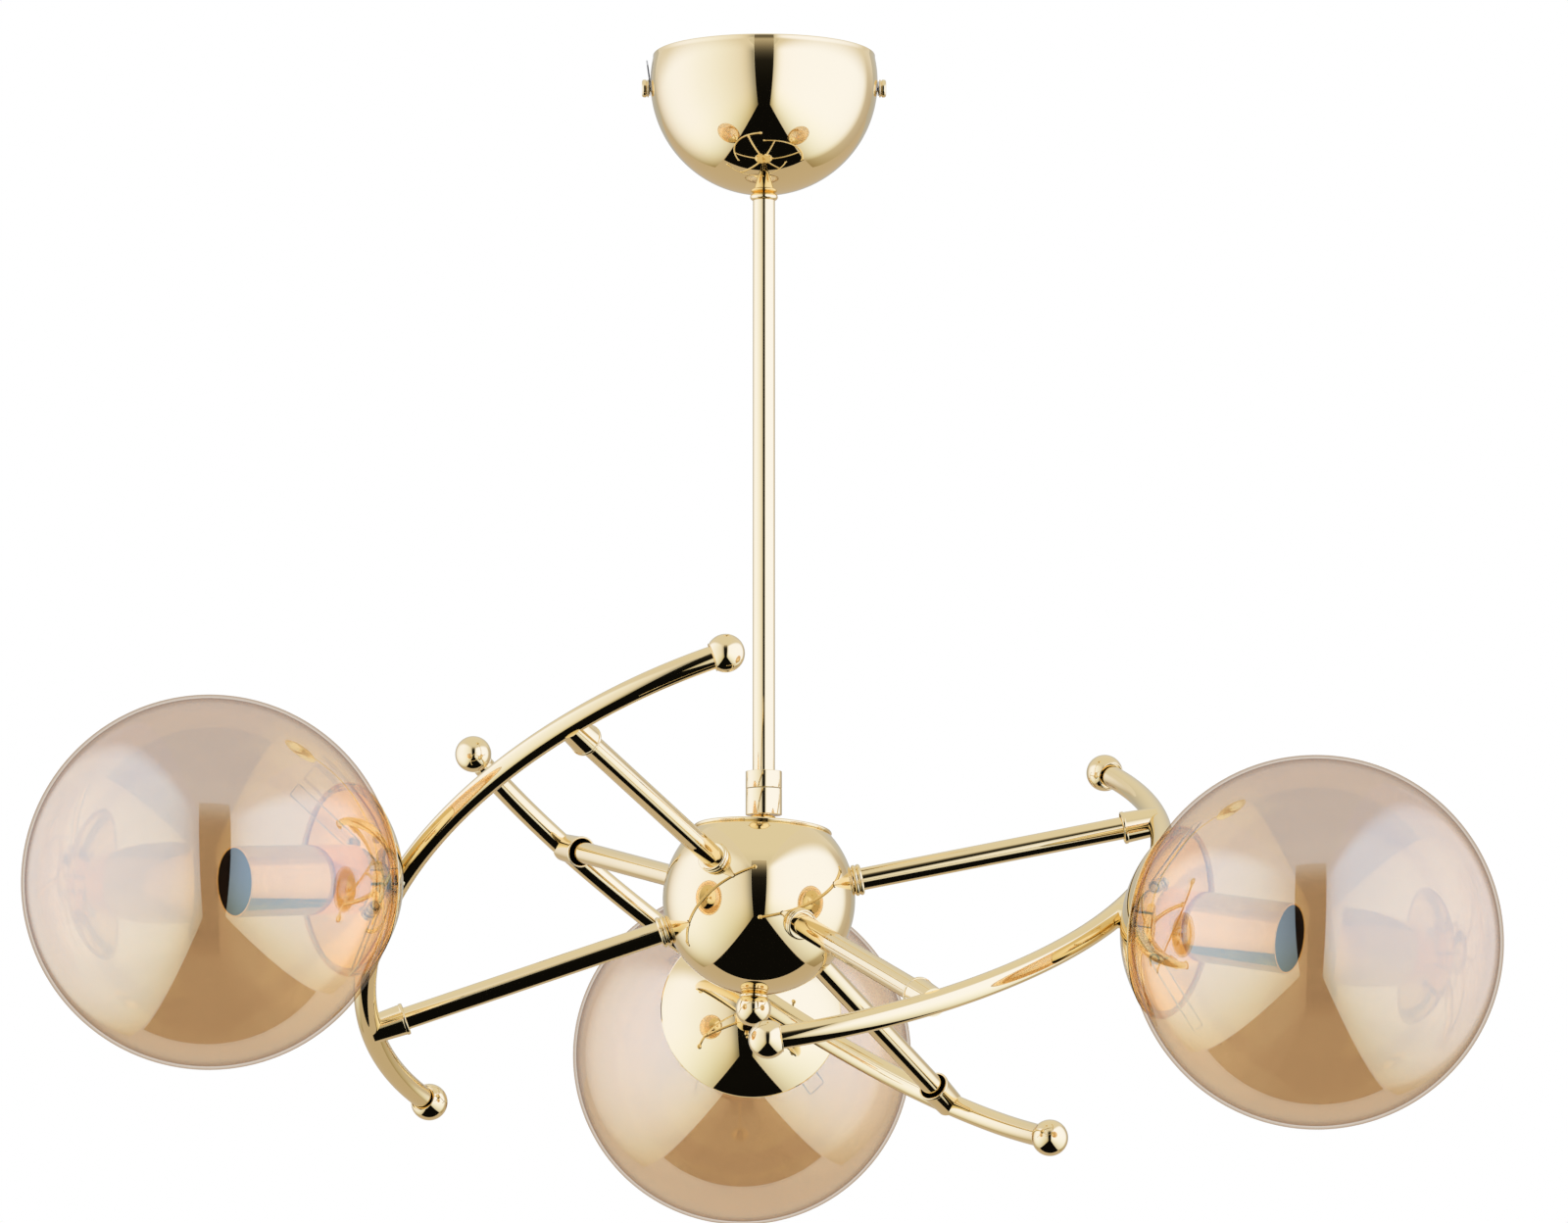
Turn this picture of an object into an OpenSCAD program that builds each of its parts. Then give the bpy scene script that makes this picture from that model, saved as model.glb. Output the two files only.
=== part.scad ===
// Ceiling light with three glass globes on curved tubes round a spherical hub.
// Millimetres, +Z up. The origin is the middle of the ceiling face of the bracket.
// The camera side of the room is -Y and +X is to its right.

/* [Canopy] */
// Outer diameter of the dome-shaped canopy
canopy_d = 127.6; // [116:0.2:140]
// Height of the upright wall above the dome
canopy_side_h = 15.3; // [14:0.1:22]
// Sheet thickness of the canopy
canopy_wall = 1.2; // [0.8:0.1:1.6]
// Depth of the side screws below the ceiling
side_screw_drop = 19; // [17:0.5:21]
// Thread diameter of the side screws
side_screw_d = 4; // [3:0.5:5]
// Diameter of the side screw knobs
side_knob_d = 10; // [8:0.5:11]
// Length of the side screw knobs
side_knob_l = 3.8; // [3.5:0.1:6]
// Width of the spring tabs under the side screws
side_tab_w = 8; // [6:0.5:9]
// Thickness of the spring tabs
side_tab_t = 0.8; // [0.6:0.1:1.2]
// Length of the left tab above its knob
side_tab_l = 11; // [6:0.5:12]
// Lean of the left tab away from the canopy, in degrees
side_tab_lean = 8; // [0:0.5:15]

/* [Ceiling bracket] */
// Width of the bracket strip
bracket_w = 18; // [16:1:22]
// Thickness of the bracket strip
bracket_t = 1.5; // [1.2:0.1:2.5]
// Free space between the bracket legs and the canopy wall
bracket_side_gap = 1.6; // [1.4:0.1:4]
// Length of the bracket legs below the strip
bracket_leg_h = 23; // [22:0.5:27]
// Distance between the middles of the two ceiling slots
ceiling_slot_pitch = 70; // [60:1:80]
// Length of each ceiling slot
ceiling_slot_l = 18; // [8:1:22]
// Width of each ceiling slot
ceiling_slot_w = 5; // [4:0.1:6]
// Diameter of the cable hole in the strip
cable_hole_d = 16; // [10:1:20]
// Size of the connector block under the strip
connector_size = [26, 15, 13]; // [8:1:28]

/* [Rod and collar] */
// Diameter of the hanging rod
rod_d = 12.4; // [11.4:0.1:13.4]
// Wall of the hanging rod
rod_wall = 1.1; // [0.8:0.1:1.1]
// Length of the rod between the bead and the collar
rod_len = 322; // [150:1:600]
// Diameter of the bead under the canopy
bead_d = 15.6; // [15:0.1:18]
// Height of the bead
bead_h = 3.6; // [3:0.1:6]
// Diameter of the threaded nipples
nipple_d = 10; // [9.8:0.1:10.1]
// Bore of the threaded nipples, for the supply cable
nipple_bore = 7; // [5:0.1:7.5]
// Diameter of the collar under the rod
collar_d = 20.2; // [18.5:0.1:24]
// Height of the upper half of the collar
collar_upper_h = 9.6; // [8:0.1:14]
// Height of the lower half of the collar
collar_lower_h = 14.6; // [14:0.1:20]

/* [Ball swivel] */
// Diameter of the swivel ball inside the collar
ball_d = 12; // [11.6:0.1:13]
// Diameter of the opening that the ball rests in
ball_seat_d = 9.2; // [9:0.1:9.6]
// Thickness of the collar floor that carries the ball
ball_seat_t = 1; // [0.8:0.1:1.5]
// Diameter of the neck under the ball
neck_d = 7.8; // [7:0.1:7.8]
// Bore of the ball and neck
neck_bore = 5; // [4:0.1:5.5]
// Diameter of the foot on the hub lid
foot_d = 16; // [14:0.1:18]
// Height of the foot
foot_h = 7; // [6:0.1:10]
// Sideways lean of everything that hangs from the ball, in degrees
lean_side = 2.9; // [0:0.1:4]
// Lean towards the viewer of everything that hangs from the ball, in degrees
lean_front = 4.1; // [0:0.1:4.5]

/* [Hub] */
// Outer diameter of the spherical hub
hub_d = 106.6; // [98:0.2:120]
// Sheet thickness of the hub
hub_wall = 1.2; // [0.8:0.1:2]
// Height of the flat lid above the middle of the hub
lid_level = 37.7; // [34:0.1:42]
// Thickness of the hub lid
lid_t = 2; // [1.2:0.1:3]
// How far the lid stands out over the hub
lid_lip = 0.8; // [0:0.1:2]
// Diameter of the finial ball
finial_d = 19.6; // [16:0.2:24]
// Diameter of the ring above the finial ball
finial_ring_d = 16; // [14:0.1:18]
// Height of the ring below the hub
finial_ring_h = 2.4; // [1.6:0.1:4]

/* [Branches] */
// Direction of the first branch seen from above, in degrees
first_branch = 211.2; // [180:0.1:240]
// Downward slope of each branch, in degrees
branch_slope = 6; // [0:0.5:10]
// Roll of each branch about its own direction, in degrees
branch_roll = 31.5; // [26:0.5:36]
// Radius of the curved tubes, to the tube middle
arc_r = 236; // [225:1:250]
// Distance from the hub middle to the middle of a curved tube
arc_reach = 224; // [215:1:240]
// Height of the plane of a curved tube above the hub middle
arc_lift = 7; // [0:0.5:10]
// Half of the angle that a curved tube spans, in degrees
arc_half = 57; // [50:0.5:60]
// Diameter of the curved tubes
arc_tube_d = 12.5; // [11:0.1:14]
// Wall of the curved tubes
arc_tube_wall = 1.1; // [0.8:0.1:1.5]
// Diameter of the balls on the tube ends
end_ball_d = 20.6; // [19:0.1:24]
// Angle along the curved tube at which the two arms join it, in degrees
arm_angle = 34.5; // [30:0.5:40]
// Diameter of the straight arms
arm_d = 12.4; // [11:0.1:13.4]
// Wall of the straight arms
arm_wall = 1.1; // [0.8:0.1:1.5]
// Diameter of the beaded rings between arms and hub
arm_ring_d = 17.4; // [16.4:0.1:20]
// Length of a beaded ring
arm_ring_l = 5; // [4:0.1:7]
// Mouth diameter of the cups between arms and curved tubes
cup_mouth_d = 18; // [17.4:0.1:21]
// Diameter of a cup where it meets the curved tube
cup_end_d = 15.6; // [15:0.1:17]
// Length of a cup from its mouth to the curved tube
cup_l = 14; // [10:0.1:20]
// Sheet thickness of a cup
cup_wall = 1.1; // [0.8:0.1:1.2]

/* [Lampholders] */
// Turn of each lampholder about its curved tube, in degrees
holder_dip = 3.35; // [0:0.05:6]
// Distance from the curved tube's middle to the back of the dish
dish_back = 11; // [9:0.1:14]
// Sheet thickness of the dish
dish_wall = 1; // [0.8:0.1:1.2]
// Depth of the dish inside
dish_depth = 21.7; // [19:0.1:24]
// Length of the sleeve round each lampholder
sleeve_l = 74.1; // [66:0.1:76]
// Outer diameter of the sleeve
sleeve_d = 38; // [37:0.1:38.4]
// Sheet thickness of the sleeve
sleeve_wall = 1; // [0.8:0.1:1.2]
// Free space between the spring coils and the back of the sleeve
sleeve_gap = 0.5; // [0.4:0.1:2]
// Free space between lampholder and sleeve
holder_gap = 0.5; // [0.3:0.1:1]
// Length of a lampholder
holder_l = 46; // [40:1:50]
// Bore of a lampholder for the screw cap of a bulb
holder_bore = 27; // [26:0.1:28]
// Depth of that bore
holder_bore_l = 34; // [28:1:36]

/* [Globes] */
// Outer diameter of a glass globe
globe_d = 200; // [196:0.5:204]
// Thickness of the glass
glass_t = 1.8; // [1.4:0.1:1.9]
// Diameter of a globe's cut opening
opening_d = 102; // [101:0.1:103]
// Clearance between the glass and the dish rim
glass_gap = 0.25; // [0.2:0.05:0.5]

/* [Springs] */
// Wire diameter of the globe springs
wire_d = 1; // [0.8:0.05:1]
// Mean radius of a spring coil
coil_r = 3.2; // [3:0.1:3.3]
// Turns in each coil
coil_turns = 2.5; // [1.5:1:2.5]
// Rise of the coil for each turn
coil_pitch = 1.44; // [1.42:0.01:1.46]
// Length of a spring leg from the coil to its tip
leg_l = 44; // [36:0.5:44]
// Distance between the two legs of a spring
leg_span = 11; // [10.8:0.1:14]
// Angle of a leg from the lampholder's axis, in degrees
leg_angle = 54; // [50:0.5:54]
// Distance of the coils from the lampholder's axis
coil_out = 20; // [19.6:0.1:20.2]
// Distance from the dish floor to the coils
coil_stand = 14; // [13.6:0.1:14.2]
// Width of the strip that carries the springs
strip_w = 8; // [6:0.5:9]
// Thickness of the strip that carries the springs
strip_t = 1; // [0.8:0.1:1.2]
// Turn of each spring strip about its lampholder, in degrees
strip_turn = [7, 7, 78]; // [0:1:180]

/* [Hidden] */
$fn = 64;

gold = [0.86, 0.70, 0.36];
steel = [0.74, 0.75, 0.76];
smoke_glass = [0.80, 0.66, 0.50];
dark_brass = [0.62, 0.47, 0.22];
ceramic = [0.92, 0.91, 0.88];

// Clearances: between threads, between seated faces, round a loose screw, and past a cut
thread_gap = 0.08;
seat_gap = 0.05;
screw_gap = 0.6;
cut = 0.5;

canopy_r = canopy_d / 2;
canopy_bottom = -(canopy_side_h + canopy_r);
bead_bottom = canopy_bottom - bead_h;
nipple_overlap = 16;
nut_h = 5;
nut_d = 19;
collar_top = bead_bottom - rod_len;
collar_seam = collar_top - collar_upper_h;
seam_gap = 0.2;
collar_bottom = collar_seam - seam_gap - collar_lower_h;
ball_r = ball_d / 2;
ball_drop = sqrt(ball_r * ball_r - ball_seat_d * ball_seat_d / 4);
pivot_z = collar_bottom + ball_seat_t + ball_drop + seat_gap;

hub_r = hub_d / 2;
lid_r = sqrt(hub_r * hub_r - lid_level * lid_level);
lid_top = lid_level + lid_t;
// The foot stops far enough below the collar to lean without touching it
foot_chamfer = 1.5;
max_lean = 6;
foot_gap = 0.15 + (foot_d / 2 - foot_chamfer) * sin(max_lean);
hub_drop = lid_top + foot_h + foot_gap + (pivot_z - collar_bottom);
ring_bottom = -hub_r - finial_ring_h;
finial_neck = 5.6;
finial_hold = 1;
finial_z = ring_bottom - seat_gap - finial_neck;

arc_mid_x = arc_reach - arc_r;
arc_tube_r = arc_tube_d / 2;
rod_seat = 3;
foot_seat = 2;
arm_tip = [arc_mid_x + arc_r * cos(arm_angle), arc_r * sin(arm_angle), arc_lift];
arm_reach = norm(arm_tip);
arm_r = arm_d / 2;

globe_r = globe_d / 2;
opening_level = sqrt(globe_r * globe_r - opening_d * opening_d / 4);
dish_rim_r = opening_d / 2 + glass_gap;
dish_floor = dish_back + dish_wall;
dish_rim = dish_floor + dish_depth;
dish_ball_r = (dish_rim_r * dish_rim_r + dish_depth * dish_depth) / (2 * dish_depth);
dish_ball_x = dish_floor + dish_ball_r;
globe_x = dish_rim + opening_level;
coil_x = dish_floor + coil_stand;
sleeve_back = coil_x + coil_r + wire_d / 2 + sleeve_gap;
sleeve_floor_t = 1.2;
holder_r = sleeve_d / 2 - sleeve_wall - holder_gap;
holder_back = sleeve_back + sleeve_floor_t + seat_gap;
stud_hole_r = nipple_d / 2 + 0.2;

pin_r = coil_r - wire_d / 2 - 0.5;
eye_r = pin_r + 0.9;
eye_w = 2;
// The strip is bent to a round bow from its flat middle on the dish floor to the two pins
strip_middle_r = stud_hole_r + 2.4;
strip_low = dish_ball_x - sqrt(dish_ball_r * dish_ball_r - strip_middle_r * strip_middle_r) + seat_gap;
strip_sag = coil_x - strip_low - strip_t / 2;
strip_bow = (coil_out * coil_out + strip_sag * strip_sag) / (2 * strip_sag);
bow_x = strip_low + strip_t / 2 + strip_bow;
bow_angle = 2 * atan(strip_sag / coil_out);

// Everything that hangs from the swivel ball, with the hub middle as its zero
module hung() {
  translate([0, 0, pivot_z])
    rotate([0, lean_side, 0])
      rotate([-lean_front, 0, 0])
        translate([0, 0, -hub_drop])
          children();
}

// Plane of one curved tube: X outwards along the branch, Y along the tube
module branch(i) {
  hung()
    rotate([0, 0, first_branch + 120 * i])
      rotate([0, branch_slope, 0])
        rotate([branch_roll, 0, 0])
          children();
}

// Axis of one straight arm as Z, from the hub middle; side is 1 above and -1 below
module arm_axis(i, side) {
  branch(i)
    rotate([0, acos(arm_tip.z / arm_reach), side * atan2(arm_tip.y, arm_tip.x)])
      children();
}

// Axis of one lampholder as X, from the middle of its curved tube
module holder_axis(i) {
  branch(i)
    translate([arc_reach, 0, arc_lift])
      rotate([0, holder_dip, 0])
        children();
}

// The same axis turned to stand as Z for round pieces
module holder_round(i) {
  holder_axis(i)
    rotate([0, 90, 0])
      children();
}

module ring(outer_r, inner_r, h) {
  difference() {
    cylinder(r = outer_r, h = h);
    translate([0, 0, -cut])
      cylinder(r = inner_r, h = h + 2 * cut);
  }
}

module ceiling_bracket() {
  leg_x = sqrt(pow(canopy_r - canopy_wall, 2) - pow(bracket_w / 2, 2)) - bracket_side_gap;
  color(steel)
    difference() {
      union() {
        translate([-leg_x, -bracket_w / 2, -bracket_t])
          cube([2 * leg_x, bracket_w, bracket_t]);
        for (s = [-1, 1])
          translate([s * (leg_x - bracket_t / 2) - bracket_t / 2, -bracket_w / 2, -bracket_leg_h])
            cube([bracket_t, bracket_w, bracket_leg_h]);
      }
      translate([0, 0, -bracket_t - cut])
        cylinder(d = cable_hole_d, h = bracket_t + 2 * cut);
      for (s = [-1, 1])
        translate([s * ceiling_slot_pitch / 2, 0, -bracket_t - cut])
          slot(ceiling_slot_l, ceiling_slot_w, bracket_t + 2 * cut);
      for (s = [-1, 1])
        translate([s * leg_x, 0, -side_screw_drop])
          rotate([0, 90, 0])
            cylinder(d = side_screw_d + 2 * thread_gap, h = 4 * bracket_t, center = true);
    }
}

module slot(l, w, h) {
  for (s = [-1, 1])
    translate([s * (l - w) / 2, 0, 0])
      cylinder(d = w, h = h);
  translate([-(l - w) / 2, -w / 2, 0])
    cube([l - w, w, h]);
}

// Connector with three through wire holes and three screw wells, beside the cable hole
module connector_block() {
  l = connector_size.x;
  w = connector_size.y;
  h = connector_size.z;
  pole = l / 3;
  wire_hole = min(4, pole - 3, h / 2);
  lap = 3;
  color(ceramic)
    translate([-l / 2, -bracket_w / 2 - w + lap, -bracket_t - seat_gap - h])
      difference() {
        cube([l, w, h]);
        for (k = [0:2]) {
          translate([(k + 0.5) * pole, -cut, h / 3])
            rotate([-90, 0, 0])
              cylinder(d = wire_hole, h = w + 2 * cut);
          translate([(k + 0.5) * pole, w / 2, -cut])
            cylinder(d = wire_hole, h = h / 3 + cut);
        }
      }
}

module canopy() {
  color(gold)
    difference() {
      rotate_extrude()
        difference() {
          dome_profile(canopy_r, 0);
          dome_profile(canopy_r - canopy_wall, cut);
        }
      translate([0, 0, canopy_bottom - cut])
        cylinder(r = stud_hole_r, h = 4 * canopy_wall);
      for (s = [-1, 1])
        translate([s * canopy_r, 0, -side_screw_drop])
          rotate([0, 90, 0])
            cylinder(d = side_screw_d + screw_gap, h = 8 * canopy_wall, center = true);
    }
}

// Quarter circle with an upright wall above it
module dome_profile(r, top) {
  translate([0, -canopy_side_h])
    intersection() {
      circle(r = r);
      translate([0, -r])
        square([r, r]);
    }
  translate([0, -canopy_side_h])
    square([r, canopy_side_h + top]);
}

// The left tab stands up beside the wall and leans away from it; the right one ends behind its knob
module side_tabs() {
  color(steel) {
    side_tab(-1, side_knob_d / 2 + side_tab_l);
    side_tab(1, side_tab_w / 2);
  }
}

// Round-ended strip with a hole for the screw, reaching above the screw by the height given
module side_tab(s, reach) {
  low = side_tab_w / 2;
  bend = min(reach, side_knob_d / 2);
  out = (reach - bend) * tan(side_tab_lean);
  inner = canopy_r + seat_gap;
  translate([0, 0, -side_screw_drop])
    scale([s, 1, 1])
      difference() {
        intersection() {
          rotate([90, 0, 0])
            linear_extrude(side_tab_w, center = true)
              polygon([
                [inner, -low], [inner + side_tab_t, -low], [inner + side_tab_t, bend],
                [inner + side_tab_t + out, reach], [inner + out, reach], [inner, bend]
              ]);
          translate([inner - cut, 0, 0])
            rotate([0, 90, 0])
              union() {
                cylinder(r = low, h = side_tab_t + out + 2 * cut);
                translate([low - reach, 0, 0])
                  cylinder(r = low, h = side_tab_t + out + 2 * cut);
                translate([low - reach, -low, 0])
                  cube([reach - low, side_tab_w, side_tab_t + out + 2 * cut]);
              }
        }
        translate([inner, 0, 0])
          rotate([0, 90, 0])
            cylinder(d = side_screw_d + screw_gap, h = 4 * side_tab_t, center = true);
      }
}

// Shank through the tab, the canopy wall and the bracket leg, with a grooved, rounded knob outside
module side_screws() {
  head_x = canopy_r + side_tab_t + 2 * seat_gap;
  shank_l = 12;
  soft = 1.2;
  flange = 0.8;
  groove = 0.6;
  color(gold)
    for (s = [-1, 1])
      translate([0, 0, -side_screw_drop])
        rotate([0, s * 90, 0])
          translate([0, 0, head_x])
            rotate_extrude() {
              translate([0, -shank_l])
                square([side_screw_d / 2, shank_l + 1]);
              square([side_knob_d / 2, flange]);
              square([side_knob_d / 2 - groove, side_knob_l - soft]);
              translate([0, flange + groove])
                square([side_knob_d / 2, side_knob_l - soft - flange - groove]);
              square([side_knob_d / 2 - soft, side_knob_l]);
              translate([side_knob_d / 2 - soft, side_knob_l - soft])
                circle(r = soft, $fn = 32);
            }
}

// Hexagon nut that clamps the canopy to the rod
module canopy_nut() {
  floor_r = canopy_r - canopy_wall;
  nut_z = -canopy_side_h - sqrt(floor_r * floor_r - nut_d * nut_d / 4);
  color(steel)
    translate([0, 0, nut_z + seat_gap])
      hex_nut();
}

module hex_nut() {
  difference() {
    cylinder(d = nut_d, h = nut_h, $fn = 6);
    translate([0, 0, -cut])
      cylinder(r = nipple_d / 2 + thread_gap, h = nut_h + 2 * cut);
  }
}

module rod_nipple() {
  color(dark_brass)
    translate([0, 0, bead_bottom - nipple_overlap])
      ring(nipple_d / 2, nipple_bore / 2, nipple_overlap + bead_h + canopy_wall + nut_h + 4);
}

module rod_bead() {
  r = bead_d / 2;
  edge = bead_h / 2;
  color(gold)
    difference() {
      translate([0, 0, bead_bottom])
        rotate_extrude()
          difference() {
            union() {
              square([r - edge, bead_h + 1]);
              translate([r - edge, edge])
                circle(r = edge, $fn = 48);
            }
            translate([0, -cut])
              square([nipple_d / 2 + thread_gap, bead_h + 1 + 2 * cut]);
            translate([-r, -r])
              square([r, 4 * r]);
          }
      translate([0, 0, -canopy_side_h])
        sphere(r = canopy_r + seat_gap, $fn = 96);
    }
}

module rod() {
  color(gold)
    translate([0, 0, collar_seam + rod_seat])
      ring(rod_d / 2, rod_d / 2 - rod_wall, rod_len + collar_upper_h - rod_seat - seat_gap);
}

module collar_upper() {
  color(gold)
    translate([0, 0, collar_seam])
      difference() {
        soft_cylinder(collar_d / 2, collar_upper_h, 0.5);
        translate([0, 0, rod_seat - seat_gap])
          cylinder(r = rod_d / 2 + thread_gap, h = collar_upper_h);
        translate([0, 0, -cut])
          cylinder(r = nipple_bore / 2, h = collar_upper_h);
      }
}

// Cylinder with small chamfers at both ends
module soft_cylinder(r, h, c) {
  rotate_extrude()
    polygon([[0, 0], [r - c, 0], [r, c], [r, h - c], [r - c, h], [0, h]]);
}

// Cup with an opening in its floor, which carries the swivel ball
module collar_lower() {
  color(gold)
    translate([0, 0, collar_bottom])
      difference() {
        soft_cylinder(collar_d / 2, collar_lower_h, 0.5);
        translate([0, 0, ball_seat_t])
          cylinder(r = ball_r + 0.4, h = collar_lower_h);
        translate([0, 0, -cut])
          cylinder(r = ball_seat_d / 2, h = collar_lower_h);
      }
}

module ball_stud() {
  color(gold)
    hung()
      translate([0, 0, lid_top + seat_gap])
        difference() {
          union() {
            rotate_extrude()
              polygon([
                [0, 0], [foot_d / 2, 0], [foot_d / 2, foot_h - foot_chamfer],
                [foot_d / 2 - foot_chamfer, foot_h], [0, foot_h]
              ]);
            cylinder(d = neck_d, h = hub_drop - lid_top);
            translate([0, 0, hub_drop - lid_top - seat_gap])
              sphere(r = ball_r);
          }
          translate([0, 0, -cut])
            cylinder(d = neck_bore, h = 2 * hub_drop);
          translate([0, 0, -cut])
            cylinder(r = nipple_d / 2 + thread_gap, h = foot_h - foot_seat + cut);
        }
}

module hub_lid() {
  color(gold)
    hung()
      translate([0, 0, lid_level])
        difference() {
          soft_cylinder(lid_r + lid_lip, lid_t, 0.4);
          translate([0, 0, -cut])
            cylinder(r = stud_hole_r, h = lid_t + 2 * cut);
        }
}

// Spun ball, open under its lid, with a hole for each arm and for the central tube
module hub_shell() {
  color(gold)
    difference() {
      hung()
        difference() {
          sphere(r = hub_r, $fn = 128);
          sphere(r = hub_r - hub_wall, $fn = 128);
          translate([0, 0, lid_level - seat_gap + hub_r])
            cube(2 * hub_r, center = true);
          translate([0, 0, -hub_r - cut])
            cylinder(r = stud_hole_r, h = hub_r);
        }
      for (i = [0:2], side = [-1, 1])
        arm_axis(i, side)
          cylinder(r = arm_r + thread_gap, h = 2 * hub_r);
    }
}

// Threaded tube from the foot through the lid and the hub into the finial ball
module hub_tube() {
  top = lid_top + foot_h - foot_seat - seat_gap;
  bottom = finial_z - finial_hold;
  color(dark_brass)
    hung()
      translate([0, 0, bottom])
        ring(nipple_d / 2, nipple_bore / 2, top - bottom);
}

module hub_nut() {
  color(steel)
    hung()
      translate([0, 0, lid_level - nut_h - seat_gap])
        hex_nut();
}

module finial_ring() {
  edge = finial_ring_h / 2;
  r = finial_ring_d / 2;
  color(gold)
    hung()
      difference() {
        translate([0, 0, ring_bottom])
          rotate_extrude()
            difference() {
              union() {
                square([r - edge, finial_ring_h + 1]);
                translate([r - edge, edge])
                  circle(r = edge, $fn = 48);
              }
              translate([-r, -r])
                square([r + nipple_d / 2 + thread_gap, 4 * r]);
            }
        sphere(r = hub_r + seat_gap, $fn = 128);
      }
}

module finial_ball() {
  color(gold)
    hung()
      difference() {
        translate([0, 0, finial_z])
          sphere(d = finial_d);
        translate([0, 0, finial_z + finial_neck])
          cylinder(d = finial_d, h = finial_d);
        translate([0, 0, finial_z - finial_hold - cut])
          cylinder(r = nipple_d / 2 + thread_gap, h = finial_d);
      }
}

// Two rounded beads on each arm, cut to sit on the ball of the hub
module arm_rings() {
  bead = arm_ring_l / 4;
  r = arm_ring_d / 2;
  color(gold)
    difference() {
      for (i = [0:2], side = [-1, 1])
        arm_axis(i, side)
          translate([0, 0, hub_r - 1])
            rotate_extrude()
              difference() {
                union() {
                  translate([arm_r, 0])
                    square([r - bead - arm_r, arm_ring_l + 1]);
                  for (k = [1, 3])
                    translate([r - bead, 1 + k * bead])
                      circle(r = bead, $fn = 48);
                }
                translate([-r, -r])
                  square([r + arm_r + seat_gap, 4 * r]);
              }
      hung()
        sphere(r = hub_r + seat_gap, $fn = 128);
    }
}

module arm(i, side) {
  arm_end_gap = 0.3;
  arm_inside = 2;
  inner = hub_r - hub_wall - arm_inside;
  outer = arm_reach - arc_tube_r - arm_end_gap;
  color(gold)
    arm_axis(i, side)
      translate([0, 0, inner])
        ring(arm_r, arm_r - arm_wall, outer - inner);
}

// Tapered cup with its mouth towards the hub and its end saddled on the curved tube
module cup(i, side) {
  mouth = arm_reach - arc_tube_r - cup_l;
  saddle = arm_reach - arc_tube_r / 2;
  rim = 2;
  step = 0.4;
  throat = 6;
  mouth_r = cup_mouth_d / 2;
  end_r = cup_end_d / 2;
  color(gold)
    difference() {
      arm_axis(i, side)
        rotate_extrude()
          polygon([
            [mouth_r - cup_wall, mouth], [mouth_r, mouth], [mouth_r, mouth + rim],
            [mouth_r - step, mouth + rim], [end_r, saddle], [arm_r + thread_gap, saddle],
            [arm_r + thread_gap, saddle - throat], [mouth_r - cup_wall - step, mouth + 1.5 * rim]
          ]);
      branch(i)
        arc_solid(arc_tube_r + seat_gap, arm_angle + 8);
    }
}

// Solid round bar bent along the curved tube's middle, over plus and minus half degrees
module arc_solid(r, half) {
  translate([arc_mid_x, 0, arc_lift])
    rotate([0, 0, -half])
      rotate_extrude(angle = 2 * half, $fn = 128)
        translate([arc_r, 0])
          circle(r = r, $fn = 48);
}

module arc(i) {
  // The tube stops just short of the middle of each end ball
  end_gap = 1;
  half = arc_half - end_gap / arc_r * 180 / PI;
  color(gold)
    branch(i)
      translate([arc_mid_x, 0, arc_lift])
        rotate([0, 0, -half])
          rotate_extrude(angle = 2 * half, $fn = 128)
            translate([arc_r, 0])
              difference() {
                circle(r = arc_tube_r, $fn = 48);
                circle(r = arc_tube_r - arc_tube_wall, $fn = 48);
              }
}

// Ball with a bore for the tube and a wider recess at its mouth
module arc_balls(i) {
  recess = 2.4;
  recess_step = 1;
  bore_gap = 0.35;
  recess_r = arc_tube_r + recess_step;
  mouth = sqrt(end_ball_d * end_ball_d / 4 - recess_r * recess_r);
  color(gold)
    branch(i)
      for (side = [-1, 1])
        translate([arc_mid_x, 0, arc_lift])
          rotate([0, 0, side * arc_half])
            translate([arc_r, 0, 0])
              rotate([side * 90, 0, 0])
                difference() {
                  sphere(d = end_ball_d);
                  cylinder(r = arc_tube_r + bore_gap, h = end_ball_d);
                  translate([0, 0, mouth - recess])
                    cylinder(r = recess_r, h = end_ball_d);
                }
}

// Threaded tube with a saddle washer between each curved tube and its dish
module lamp_studs() {
  washer_r = 7;
  stud_end = holder_back + 8;
  washer_gap = 0.1;
  start = 2;
  color(gold)
    for (i = [0:2])
      difference() {
        holder_round(i)
          difference() {
            union() {
              translate([0, 0, start])
                cylinder(r = washer_r, h = dish_back - washer_gap - start);
              cylinder(r = nipple_d / 2, h = stud_end);
            }
            translate([0, 0, start])
              cylinder(r = nipple_bore / 2, h = stud_end);
          }
        branch(i)
          arc_solid(arc_tube_r + seat_gap, 6);
      }
}

module dish(i) {
  color(gold)
    holder_round(i)
      difference() {
        translate([0, 0, dish_ball_x])
          sphere(r = dish_ball_r + dish_wall, $fn = 128);
        translate([0, 0, dish_ball_x])
          sphere(r = dish_ball_r, $fn = 128);
        translate([0, 0, dish_rim])
          cylinder(r = 2 * dish_ball_r, h = 3 * dish_ball_r);
        translate([0, 0, dish_back - cut])
          cylinder(r = stud_hole_r, h = 4 * dish_wall);
      }
}

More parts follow.
